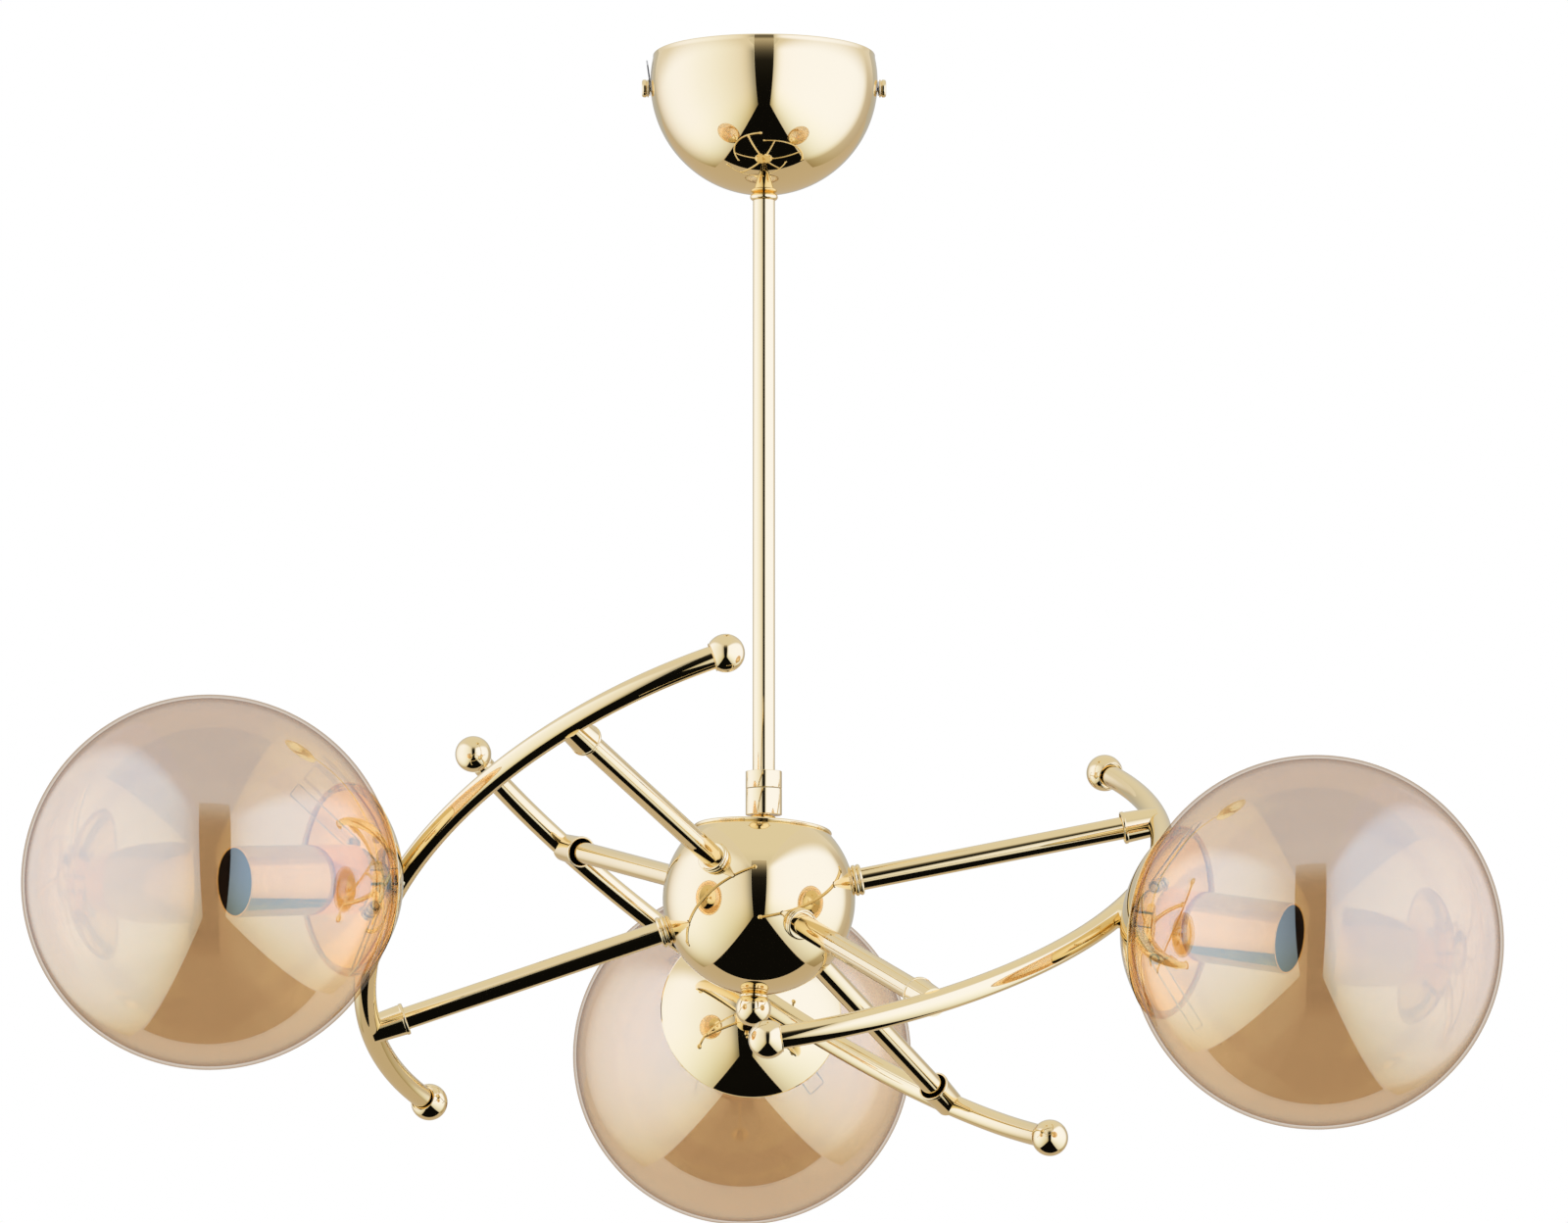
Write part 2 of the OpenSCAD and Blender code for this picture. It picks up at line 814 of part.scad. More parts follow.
// Bowed strip across the stud with an eye and a pin for a spring at each end
module strip(i) {
  tongue = 6;
  color(steel)
    holder_axis(i)
      rotate([-strip_turn[i], 0, 0]) {
        difference() {
          union() {
            difference() {
              bow_band(strip_w, bow_angle);
              for (side = [-1, 1], flank = [-1, 1])
                translate([coil_x, flank * (eye_w + strip_w) / 2, side * (2 * coil_out - tongue)])
                  cube([2 * coil_stand, strip_w, 2 * coil_out], center = true);
            }
            translate([strip_low, 0, 0])
              rotate([0, 90, 0])
                cylinder(r = strip_middle_r, h = strip_t);
            for (side = [-1, 1])
              translate([coil_x, 0, side * coil_out])
                rotate([90, 0, 0])
                  cylinder(r = eye_r, h = eye_w, center = true);
          }
          translate([dish_floor, 0, 0])
            rotate([0, 90, 0])
              cylinder(r = stud_hole_r, h = 4 * strip_t);
        }
        for (side = [-1, 1])
          translate([coil_x, 0, side * coil_out])
            rotate([90, 0, 0])
              cylinder(r = pin_r, h = leg_span + 1.5, center = true);
      }
}

// Part of a round band, w wide, reaching half degrees to both sides of its lowest point
module bow_band(w, half) {
  translate([bow_x, 0, 0])
    rotate([90, 0, 0])
      rotate([0, 0, 180 - half])
        rotate_extrude(angle = 2 * half, $fn = 96)
          translate([strip_bow - strip_t / 2, -w / 2])
            square([strip_t, w]);
}

module sleeve(i) {
  r = sleeve_d / 2;
  color(gold)
    holder_round(i)
      translate([0, 0, sleeve_back])
        difference() {
          cylinder(r = r, h = sleeve_l);
          translate([0, 0, sleeve_floor_t])
            cylinder(r = r - sleeve_wall, h = sleeve_l);
          translate([0, 0, -cut])
            cylinder(r = stud_hole_r, h = sleeve_l);
        }
}

// Screw-cap holder: closed back with the stud's hole, open bore at the front
module lampholder(i) {
  color(ceramic)
    holder_round(i)
      translate([0, 0, holder_back])
        difference() {
          cylinder(r = holder_r, h = holder_l);
          translate([0, 0, holder_l - holder_bore_l])
            cylinder(d = holder_bore, h = holder_bore_l + cut);
          translate([0, 0, -cut])
            cylinder(r = stud_hole_r, h = holder_l - holder_bore_l - 2 + cut);
        }
}

module globe(i) {
  color(smoke_glass)
    holder_round(i)
      translate([0, 0, globe_x])
        difference() {
          sphere(r = globe_r, $fn = 128);
          sphere(r = globe_r - glass_t, $fn = 128);
          translate([0, 0, -opening_level - globe_r])
            cube(2 * globe_r, center = true);
        }
}

// Half of a spring's middle line, from its free end to the middle of its tip.
// X runs along the legs, Y along the coil's axis and Z away from the lampholder.
coil_steps = 8;
coil_rings = round(coil_steps * coil_turns);
coil_start = leg_span / 2 - coil_pitch * coil_turns;
bend = 1.5;
half_spring = [
  for (e = [1])
    let (a = 90 + 360 * coil_turns)
      [coil_r * cos(a) - wire_d * sin(a), coil_start, coil_r * sin(a) + wire_d * cos(a)],
  for (k = [0:coil_rings])
    let (a = 90 + 360 * (coil_turns - k / coil_steps))
      [coil_r * cos(a), coil_start + coil_pitch * k / coil_steps, coil_r * sin(a)],
  [leg_l / 2, leg_span / 2, coil_r],
  for (a = [0, 45, 90])
    [leg_l - bend + bend * sin(a), leg_span / 2 - bend + bend * cos(a), coil_r]
];
spring_path = concat(half_spring, [
  for (k = [len(half_spring) - 1:-1:0])
    [half_spring[k].x, -half_spring[k].y, half_spring[k].z]
]);

// Least distance between turns of the wire, less its thickness
coil_gaps = [
  for (j = [1:coil_rings], k = [1:coil_rings])
    if (k - j > coil_steps / 2)
      norm(half_spring[k] - half_spring[j]) - wire_d
];
echo(least_spring_gap = min(coil_gaps));

function unit(v) = v / norm(v);
function along(p, k) = unit(p[min(k + 1, len(p) - 1)] - p[max(k - 1, 0)]);
// A direction square to the path that turns with it and never flips
function carried(p, k, n) =
  let (t = along(p, k), m = n - (n * t) * t)
    unit(m);
function side_vectors(p, k, n, list) =
  k == len(p) ? list : let (m = carried(p, k, n)) side_vectors(p, k + 1, m, concat(list, [m]));

// Round wire along a path, as one closed surface of triangles
module wire(p, d, sides) {
  n = side_vectors(p, 0, [0, 1, 0.2], []);
  last = len(p) - 1;
  rings = [
    for (k = [0:last], j = [0:sides - 1])
      let (t = along(p, k), m = n[k], b = cross(t, m), a = 360 * j / sides)
        p[k] + d / 2 * (cos(a) * m + sin(a) * b)
  ];
  walls = [
    for (k = [0:last - 1], j = [0:sides - 1])
      let (q = k * sides, j2 = (j + 1) % sides)
        each [[q + j, q + sides + j, q + j2], [q + j2, q + sides + j, q + sides + j2]]
  ];
  caps = [
    for (j = [1:sides - 2])
      each [[0, j, j + 1], [last * sides, last * sides + j + 1, last * sides + j]]
  ];
  polyhedron(points = rings, faces = concat(walls, caps), convexity = 6);
}

// Wire spring on its pin; side is 1 for the upper end of the strip and -1 for the lower
module spring(i, side) {
  color(steel)
    holder_axis(i)
      rotate([-strip_turn[i] + (side > 0 ? 0 : 180), 0, 0])
        translate([coil_x, 0, coil_out])
          rotate([0, -leg_angle, 0])
            wire(spring_path, wire_d, 6);
}

ceiling_bracket();
connector_block();
canopy();
side_tabs();
side_screws();
canopy_nut();
rod_nipple();
rod_bead();
rod();
collar_upper();
collar_lower();
ball_stud();
hub_lid();
hub_shell();
hub_tube();
hub_nut();
finial_ring();
finial_ball();
arm_rings();
arm(0, 1);  // arm_1_upper
arm(0, -1);  // arm_1_lower
arm(1, 1);  // arm_2_upper
arm(1, -1);  // arm_2_lower
arm(2, 1);  // arm_3_upper
arm(2, -1);  // arm_3_lower
cup(0, 1);  // cup_1_upper
cup(0, -1);  // cup_1_lower
cup(1, 1);  // cup_2_upper
cup(1, -1);  // cup_2_lower
cup(2, 1);  // cup_3_upper
cup(2, -1);  // cup_3_lower
arc(0);  // arc_1
arc(1);  // arc_2
arc(2);  // arc_3
arc_balls(0);  // arc_balls_1
arc_balls(1);  // arc_balls_2
arc_balls(2);  // arc_balls_3
lamp_studs();
dish(0);  // dish_1
dish(1);  // dish_2
dish(2);  // dish_3
strip(0);  // strip_1
strip(1);  // strip_2
strip(2);  // strip_3
sleeve(0);  // sleeve_1
sleeve(1);  // sleeve_2
sleeve(2);  // sleeve_3
lampholder(0);  // lampholder_1
lampholder(1);  // lampholder_2
lampholder(2);  // lampholder_3
spring(0, 1);  // spring_1_upper
spring(0, -1);  // spring_1_lower
spring(1, 1);  // spring_2_upper
spring(1, -1);  // spring_2_lower
spring(2, 1);  // spring_3_upper
spring(2, -1);  // spring_3_lower
globe(0);  // globe_1
globe(1);  // globe_2
globe(2);  // globe_3
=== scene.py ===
import math

import bpy
import numpy as np
from mathutils import Matrix


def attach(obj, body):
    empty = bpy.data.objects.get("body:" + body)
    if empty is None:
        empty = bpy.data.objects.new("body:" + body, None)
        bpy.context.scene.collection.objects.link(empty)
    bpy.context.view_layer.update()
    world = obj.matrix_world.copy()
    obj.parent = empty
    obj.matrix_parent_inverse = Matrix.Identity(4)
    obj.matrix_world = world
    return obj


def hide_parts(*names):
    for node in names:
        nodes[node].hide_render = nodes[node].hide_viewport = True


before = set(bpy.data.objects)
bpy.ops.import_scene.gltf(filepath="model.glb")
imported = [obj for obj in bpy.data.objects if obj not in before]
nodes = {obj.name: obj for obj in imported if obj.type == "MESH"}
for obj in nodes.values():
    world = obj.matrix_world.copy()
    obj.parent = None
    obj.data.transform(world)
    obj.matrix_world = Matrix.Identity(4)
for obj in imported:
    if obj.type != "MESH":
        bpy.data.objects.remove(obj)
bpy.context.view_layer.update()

# Ceiling light: a rod under a dome canopy carries a ball hub. Its six arms hold three curved
# tubes, and each curved tube has a dish, a sleeve and a glass globe on two wire springs.
# Everything is in metres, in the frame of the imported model: +Z up, the viewer on the -Y side.

scene = bpy.context.scene

FIXED = "ceiling_fitting"
HUNG = "light_frame"

# Canopy, rod and collar
CANOPY_RADIUS = 0.0638
CANOPY_SIDE = 0.0153
CANOPY_WALL = 0.0012
CANOPY_LIP = 0.0018
SIDE_SCREW_DROP = 0.019
TAB_THICKNESS = 0.0008
KNOB_RADIUS = 0.005
KNOB_LENGTH = 0.0038
ROD_RADIUS = 0.0062
ROD_WALL = 0.0011
ROD_LENGTH = 0.322
BEAD_RADIUS = 0.0078
BEAD_HEIGHT = 0.0036
NIPPLE_RADIUS = 0.005
COLLAR_RADIUS = 0.0101
COLLAR_UPPER = 0.0096
COLLAR_LOWER = 0.0146
COLLAR_SEAM = 0.0002

# Swivel ball and the lean of what hangs from it
BALL_RADIUS = 0.006
BALL_SEAT_RADIUS = 0.0046
BALL_SEAT = 0.001
NECK_RADIUS = 0.0039
FOOT_RADIUS = 0.008
FOOT_HEIGHT = 0.007
FOOT_CHAMFER = 0.0015
LEAN_SIDE = math.radians(2.9)
LEAN_FRONT = math.radians(4.1)
MOST_LEAN = math.radians(6)

# Hub and finial
HUB_RADIUS = 0.0533
HUB_WALL = 0.0012
LID_LEVEL = 0.0377
LID_THICKNESS = 0.002
LID_LIP = 0.0008
FINIAL_RADIUS = 0.0098
FINIAL_RING_RADIUS = 0.008
FINIAL_RING_HEIGHT = 0.0024
FINIAL_NECK = 0.0056

# Branches
FIRST_BRANCH = math.radians(211.2)
BRANCH_SLOPE = math.radians(6)
BRANCH_ROLL = math.radians(31.5)
ARC_RADIUS = 0.236
ARC_REACH = 0.224
ARC_LIFT = 0.007
ARC_HALF = math.radians(57)
TUBE_RADIUS = 0.00625
END_BALL_RADIUS = 0.0103
ARM_ANGLE = math.radians(34.5)
ARM_RADIUS = 0.0062
ARM_WALL = 0.0011
ARM_RING_RADIUS = 0.0087
ARM_RING_LENGTH = 0.005
CUP_MOUTH_RADIUS = 0.009
CUP_END_RADIUS = 0.0078
CUP_LENGTH = 0.014
CUP_WALL = 0.0011
CUP_RIM = 0.002

# Dish, sleeve and lampholder on one axis, counted from the middle of the curved tube
HOLDER_DIP = math.radians(3.35)
DISH_BACK = 0.011
DISH_WALL = 0.001
DISH_DEPTH = 0.0217
SLEEVE_LENGTH = 0.0741
SLEEVE_RADIUS = 0.019
SLEEVE_WALL = 0.001
SLEEVE_STAND = 0.0182
HOLDER_GAP = 0.0005
HOLDER_LENGTH = 0.046
HOLDER_BORE = 0.0135
HOLDER_BORE_DEPTH = 0.034
WASHER_RADIUS = 0.007

# Globes and springs
GLOBE_RADIUS = 0.1
GLASS = 0.0018
OPENING_RADIUS = 0.051
GLASS_GAP = 0.00025
WIRE = 0.001
COIL_RADIUS = 0.0032
COIL_TURNS = 2.5
COIL_PITCH = 0.00144
LEG_LENGTH = 0.044
LEG_SPAN = 0.011
LEG_ANGLE = math.radians(54)
COIL_OUT = 0.02
COIL_STAND = 0.014
STRIP_WIDTH = 0.008
STRIP_THICKNESS = 0.001
STRIP_TURNS = [math.radians(a) for a in (7, 7, 78)]

SEAT_GAP = 0.00005
THREAD_GAP = 0.00008

# Heights on the rod
canopy_bottom = -(CANOPY_SIDE + CANOPY_RADIUS)
bead_bottom = canopy_bottom - BEAD_HEIGHT
collar_top = bead_bottom - ROD_LENGTH
collar_seam = collar_top - COLLAR_UPPER
collar_bottom = collar_seam - COLLAR_SEAM - COLLAR_LOWER
pivot_height = collar_bottom + BALL_SEAT + math.sqrt(BALL_RADIUS**2 - BALL_SEAT_RADIUS**2) + SEAT_GAP
lid_top = LID_LEVEL + LID_THICKNESS
lid_radius = math.sqrt(HUB_RADIUS**2 - LID_LEVEL**2)
foot_gap = 0.00015 + (FOOT_RADIUS - FOOT_CHAMFER) * math.sin(MOST_LEAN)
hub_drop = lid_top + FOOT_HEIGHT + foot_gap + pivot_height - collar_bottom

# Places along a lampholder's axis
opening_level = math.sqrt(GLOBE_RADIUS**2 - OPENING_RADIUS**2)
rim_radius = OPENING_RADIUS + GLASS_GAP
dish_floor = DISH_BACK + DISH_WALL
dish_rim = dish_floor + DISH_DEPTH
dish_curve = (rim_radius**2 + DISH_DEPTH**2) / (2 * DISH_DEPTH)
dish_centre = dish_floor + dish_curve
globe_centre = dish_rim + opening_level
sleeve_back = dish_floor + SLEEVE_STAND
holder_back = sleeve_back + 0.00125
holder_radius = SLEEVE_RADIUS - SLEEVE_WALL - HOLDER_GAP
coil_place = dish_floor + COIL_STAND
strip_middle = NIPPLE_RADIUS + 0.0026
strip_floor = dish_centre - math.sqrt(dish_curve**2 - strip_middle**2) + SEAT_GAP
bow_sag = coil_place - strip_floor - STRIP_THICKNESS / 2
bow_radius = (COIL_OUT**2 + bow_sag**2) / (2 * bow_sag)
bow_centre = strip_floor + STRIP_THICKNESS / 2 + bow_radius
bow_angle = 2 * math.atan(bow_sag / COIL_OUT)
eye_radius = COIL_RADIUS - WIRE / 2 - 0.0005 + 0.0009


# Places: a 4 by 4 matrix for each frame


def shift(x, y, z):
    """A move by x, y and z."""
    m = np.eye(4)
    m[:3, 3] = (x, y, z)
    return m


def turn(axis, angle):
    """A turn about X, Y or Z, counter-clockwise seen from the axis's far end."""
    return np.array(Matrix.Rotation(angle, 4, axis))


lean = turn("Y", LEAN_SIDE) @ turn("X", -LEAN_FRONT)
hub_frame = shift(0, 0, pivot_height) @ lean @ shift(0, 0, -hub_drop)


def branch(i):
    """Plane of one curved tube: X outwards, Y along the tube, at the middle of the hub."""
    heading = turn("Z", FIRST_BRANCH + i * math.tau / 3)
    return hub_frame @ heading @ turn("Y", BRANCH_SLOPE) @ turn("X", BRANCH_ROLL)


def curve_frame(i):
    """Middle of the circle that a curved tube follows, in that tube's plane."""
    return branch(i) @ shift(ARC_REACH - ARC_RADIUS, 0, ARC_LIFT)


def arm_frame(i, side):
    """Z runs along a straight arm from the hub's middle to the curved tube."""
    tip = np.array([
        ARC_REACH - ARC_RADIUS + ARC_RADIUS * math.cos(ARM_ANGLE),
        side * ARC_RADIUS * math.sin(ARM_ANGLE),
        ARC_LIFT,
    ])
    reach = float(np.linalg.norm(tip))
    swing = turn("Z", math.atan2(tip[1], tip[0])) @ turn("Y", math.acos(tip[2] / reach))
    return branch(i) @ swing, reach


def holder_frame(i):
    """X runs along a lampholder's axis from the middle of its curved tube."""
    return branch(i) @ shift(ARC_REACH, 0, ARC_LIFT) @ turn("Y", HOLDER_DIP)


def holder_round(i):
    """The same axis as Z, for turned pieces."""
    return holder_frame(i) @ turn("Y", math.pi / 2)


def strip_frame(i, side=1):
    """A lampholder's frame turned so that Z points to the strip's upper or lower end."""
    half_turn = 0 if side > 0 else math.pi
    return holder_frame(i) @ turn("X", half_turn - STRIP_TURNS[i])


# Surfaces: grids of points, worked out as whole arrays


def arc(centre_r, centre_z, radius, start, end, steps=16):
    """Points of a circle in a profile: centre plus radius times cosine and sine, in degrees."""
    a = np.radians(np.linspace(start, end, steps))
    return np.c_[centre_r + radius * np.cos(a), centre_z + radius * np.sin(a)]


def profile(*parts):
    """Corners and arcs joined to one outline of (radius, height) points."""
    return np.vstack([np.atleast_2d(np.array(p, float)) for p in parts])


def rounded(points, radius, steps=6):
    """A closed outline with each corner replaced by a short curve of the given radius.

    A corner P becomes the curve (1-t)^2 A + 2t(1-t) P + t^2 B, where A and B lie on its two
    sides at the radius from P, or at 45 percent of a side that is shorter than that.
    """
    p = np.array(points, float)
    before, after = np.roll(p, 1, 0) - p, np.roll(p, -1, 0) - p
    reach_before, reach_after = np.linalg.norm(before, axis=1), np.linalg.norm(after, axis=1)
    r = np.minimum(radius, 0.45 * np.minimum(reach_before, reach_after))[:, None]
    a = p + before / reach_before[:, None] * r
    b = p + after / reach_after[:, None] * r
    t = np.linspace(0, 1, steps)[None, :, None]
    curve = (1 - t) ** 2 * a[:, None] + 2 * t * (1 - t) * p[:, None] + t**2 * b[:, None]
    return curve.reshape(-1, 2)


def turned(outline, place, sides=96):
    """A profile turned round Z: (r, z) at angle t goes to (r cos t, r sin t, z), then to place."""
    t = np.linspace(0, math.tau, sides, endpoint=False)
    r, z = outline[:, 0][:, None], outline[:, 1][:, None]
    grid = np.stack([r * np.cos(t), r * np.sin(t), z + 0 * t], -1)
    return moved(grid, place)


def moved(grid, place):
    """Every point of a grid taken through a 4 by 4 matrix."""
    return grid @ place[:3, :3].T + place[:3, 3]


def swept(path, section, up, wrap=False):
    """A section carried along a path: point k plus section x times side k, plus y times top k.

    The side is the path's direction crossed with up, and the top is the side crossed with the
    direction, so that the section never twists where the path doesn't run along up.
    """
    ahead = np.roll(path, -1, 0) if wrap else np.vstack([path[1:], 2 * path[-1:] - path[-2:-1]])
    behind = np.roll(path, 1, 0) if wrap else np.vstack([2 * path[:1] - path[1:2], path[:-1]])
    along = ahead - behind
    along = along / np.linalg.norm(along, axis=1)[:, None]
    side = np.cross(along, up)
    side = side / np.linalg.norm(side, axis=1)[:, None]
    top = np.cross(side, along)
    s = np.asarray(section)
    s = s if s.ndim == 3 else np.broadcast_to(s, (len(path),) + s.shape)
    return path[:, None] + s[..., :1] * side[:, None] + s[..., 1:] * top[:, None]


def circle(radius, sides):
    """Points of a circle round the origin: radius times cosine and sine."""
    t = np.linspace(0, math.tau, sides, endpoint=False)
    return radius * np.c_[np.cos(t), np.sin(t)]


def piece(name, grids, body, finish, slot, replaced=(), crease=35):
    """One mesh object from grids of points; each grid closes round its second direction.

    A grid given as (points, True) also closes along its first direction. Otherwise its two ends
    are filled with a face each, unless they have shrunk to a point. Doubles are merged, and a
    mesh whose signed volume is negative is turned round, so that every face points outwards.
    """
    points, faces, start = [], [], 0
    for entry in grids:
        grid, looped = entry if isinstance(entry, tuple) else (entry, False)
        rows, cols = grid.shape[:2]
        index = start + np.arange(rows * cols).reshape(rows, cols)
        near = index if looped else index[:-1]
        far = np.roll(index, -1, 0) if looped else index[1:]
        quads = np.stack([near, np.roll(near, -1, 1), np.roll(far, -1, 1), far], -1)
        faces += quads.reshape(-1, 4).tolist()
        if not looped:
            faces += [index[0, ::-1].tolist(), index[-1].tolist()]
        points.append(grid.reshape(-1, 3))
        start += rows * cols
    mesh = bpy.data.meshes.new(name)
    mesh.from_pydata(np.vstack(points), [], faces)
    weld(mesh)
    if signed_volume(mesh) < 0:
        mesh.flip_normals()
    mesh.polygons.foreach_set("use_smooth", np.ones(len(mesh.polygons), bool))
    mesh.set_sharp_from_angle(angle=math.radians(crease))
    mesh.materials.append(finish)
    made = bpy.data.objects.new(name, mesh)
    scene.collection.objects.link(made)
    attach(made, body)
    if replaced:
        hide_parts(*replaced)
    return made


def face_reach(made, place):
    """Each face's distance from a frame's z axis, and its height along it."""
    middles = np.zeros(3 * len(made.data.polygons))
    made.data.polygons.foreach_get("center", middles)
    local = (middles.reshape(-1, 3) - place[:3, 3]) @ place[:3, :3]
    return np.hypot(local[:, 0], local[:, 1]), local[:, 2]


def second_finish(made, finish, faces):
    """Gives the marked faces of a piece another finish."""
    made.data.materials.append(finish)
    made.data.polygons.foreach_set("material_index", faces.astype(np.int32))


def weld(mesh):
    """Merges points closer than a thousandth of a millimetre, and drops faces that shrink to nothing."""
    import bmesh

    work = bmesh.new()
    work.from_mesh(mesh)
    bmesh.ops.remove_doubles(work, verts=work.verts, dist=1e-6)
    bmesh.ops.dissolve_degenerate(work, dist=1e-7, edges=work.edges)
    work.to_mesh(mesh)
    work.free()
    mesh.update()


def signed_volume(mesh):
    """Sum over triangles of a sixth of a dot (b cross c): positive where faces point outwards."""
    mesh.calc_loop_triangles()
    corners = np.zeros(3 * len(mesh.vertices))
    mesh.vertices.foreach_get("co", corners)
    index = np.zeros(3 * len(mesh.loop_triangles), int)
    mesh.loop_triangles.foreach_get("vertices", index)
    a, b, c = corners.reshape(-1, 3)[index.reshape(-1, 3)].transpose(1, 0, 2)
    return float(np.einsum("ij,ij->i", a, np.cross(b, c)).sum() / 6)


# Finishes


def blank(name):
    """A new material with its Principled shader and the tools to add nodes to it."""
    mat = bpy.data.materials.new(name)
    mat.use_nodes = True
    tree = mat.node_tree
    shader = tree.nodes["Principled BSDF"]
    return mat, tree, shader


def add(tree, kind, **values):
    """Adds a node and sets its properties and, for names that are sockets, its inputs."""
    node = tree.nodes.new(kind)
    for key, value in values.items():
        if hasattr(node, key) and key not in node.inputs:
            setattr(node, key, value)
        else:
            node.inputs[key.replace("_", " ")].default_value = value
    return node


def noise(tree, scale, detail=3.0, stretch=(1, 1, 1)):
    """Noise on Object coordinates, stretched along an axis where its factor is under 1."""
    where = add(tree, "ShaderNodeTexCoord")
    spread = add(tree, "ShaderNodeMapping")
    spread.inputs["Scale"].default_value = stretch
    grain = add(tree, "ShaderNodeTexNoise")
    grain.inputs["Scale"].default_value = scale
    grain.inputs["Detail"].default_value = detail
    tree.links.new(where.outputs["Object"], spread.inputs["Vector"])
    tree.links.new(spread.outputs["Vector"], grain.inputs["Vector"])
    return grain.outputs["Fac"]


def span(tree, source, low, high, from_low=0.3, from_high=0.7):
    """A value taken from one range to another, and held at the ends."""
    node = add(tree, "ShaderNodeMapRange")
    for key, value in (("From Min", from_low), ("From Max", from_high), ("To Min", low), ("To Max", high)):
        node.inputs[key].default_value = value
    tree.links.new(source, node.inputs["Value"])
    return node.outputs["Result"]


def mixed(tree, factor, first, second, blend="MIX"):
    """Two colours or colour outputs mixed by a factor, which is an output or a number."""
    mix = add(tree, "ShaderNodeMix", data_type="RGBA", blend_type=blend)
    if isinstance(factor, (int, float)):
        mix.inputs["Factor"].default_value = factor
    else:
        tree.links.new(factor, mix.inputs["Factor"])
    for socket, value in (("A", first), ("B", second)):
        if isinstance(value, tuple):
            mix.inputs[socket].default_value = (*value, 1)
        else:
            tree.links.new(value, mix.inputs[socket])
    return mix.outputs["Result"]


def bump(tree, source, strength, distance):
    """A bump from a height, as a normal."""
    node = add(tree, "ShaderNodeBump")
    node.inputs["Strength"].default_value = strength
    node.inputs["Distance"].default_value = distance
    tree.links.new(source, node.inputs["Height"])
    return node.outputs["Normal"]


def plated(name, colour, deep, smooth, rough, waviness):
    """Polished plating: a faint cloud in its colour, haze in patches and a very slight ripple."""
    mat, tree, shader = blank(name)
    shader.inputs["Metallic"].default_value = 1.0
    cloud = span(tree, noise(tree, 14, 2), 0, 1)
    tree.links.new(mixed(tree, cloud, colour, deep), shader.inputs["Base Color"])
    haze = span(tree, noise(tree, 60, 4), smooth, rough, 0.35, 0.75)
    tree.links.new(haze, shader.inputs["Roughness"])
    ripple = bump(tree, noise(tree, 45, 1), waviness, 0.0002)
    tree.links.new(ripple, shader.inputs["Normal"])
    return mat


def drawn_steel(name, colour, rough):
    """Bright zinc on rolled steel: fine lines along it and small grey spangles."""
    mat, tree, shader = blank(name)
    shader.inputs["Metallic"].default_value = 1.0
    spangle = span(tree, noise(tree, 350, 3), 0, 1)
    shade = tuple(0.82 * c for c in colour)
    tree.links.new(mixed(tree, spangle, colour, shade), shader.inputs["Base Color"])
    lines = noise(tree, 900, 2, (0.05, 1, 1))
    tree.links.new(span(tree, lines, rough, rough + 0.14), shader.inputs["Roughness"])
    tree.links.new(bump(tree, lines, 0.12, 0.00005), shader.inputs["Normal"])
    return mat


def moulded(name, colour, rough):
    """Glazed holder body: even colour with a faint cloud, and a soft uneven gloss."""
    mat, tree, shader = blank(name)
    cloud = span(tree, noise(tree, 90, 3), 0, 1)
    shade = tuple(0.93 * c for c in colour)
    tree.links.new(mixed(tree, cloud, colour, shade), shader.inputs["Base Color"])
    tree.links.new(span(tree, noise(tree, 160, 3), rough, rough + 0.12), shader.inputs["Roughness"])
    tree.links.new(bump(tree, noise(tree, 260, 2), 0.08, 0.0001), shader.inputs["Normal"])
    shader.inputs["Coat Weight"].default_value = 0.4
    shader.inputs["Coat Roughness"].default_value = 0.12
    return mat


def coated_glass(name, passed, edge_passed, mirror, cavity_mirror, mirror_share, edge_share):
    """Thin coated glass: a mirror film mixed over a clear tint by how far the surface turns away.

    The film reflects in one colour towards the room and in another into the globe.
    """
    mat, tree, shader = blank(name)
    shader.inputs["Metallic"].default_value = 1.0
    cloud = span(tree, noise(tree, 9, 2), 0, 1)
    side = add(tree, "ShaderNodeNewGeometry")
    facing_room = span(tree, side.outputs["Backfacing"], 0, 1, 0, 1)
    tones = []
    for scale in (1.0, 0.96):
        inward, outward = [tuple(scale * c for c in colour) for colour in (cavity_mirror, mirror)]
        tones.append(mixed(tree, facing_room, inward, outward))
    tree.links.new(mixed(tree, cloud, *tones), shader.inputs["Base Color"])
    shader.inputs["Roughness"].default_value = 0.0
    tree.links.new(bump(tree, noise(tree, 16, 1), 0.05, 0.0004), shader.inputs["Normal"])
    facing = add(tree, "ShaderNodeLayerWeight")
    facing.inputs["Blend"].default_value = 0.5
    clear = add(tree, "ShaderNodeBsdfTransparent")
    film = span(tree, facing.outputs["Facing"], 0, 1, 0.7, 1.0)
    tree.links.new(mixed(tree, film, passed, edge_passed), clear.inputs["Color"])
    share = span(tree, facing.outputs["Facing"], mirror_share, edge_share, 0.6, 1.0)
    mix = add(tree, "ShaderNodeMixShader")
    tree.links.new(share, mix.inputs["Fac"])
    tree.links.new(clear.outputs["BSDF"], mix.inputs[1])
    tree.links.new(shader.outputs["BSDF"], mix.inputs[2])
    tree.links.new(mix.outputs["Shader"], tree.nodes["Material Output"].inputs["Surface"])
    return mat


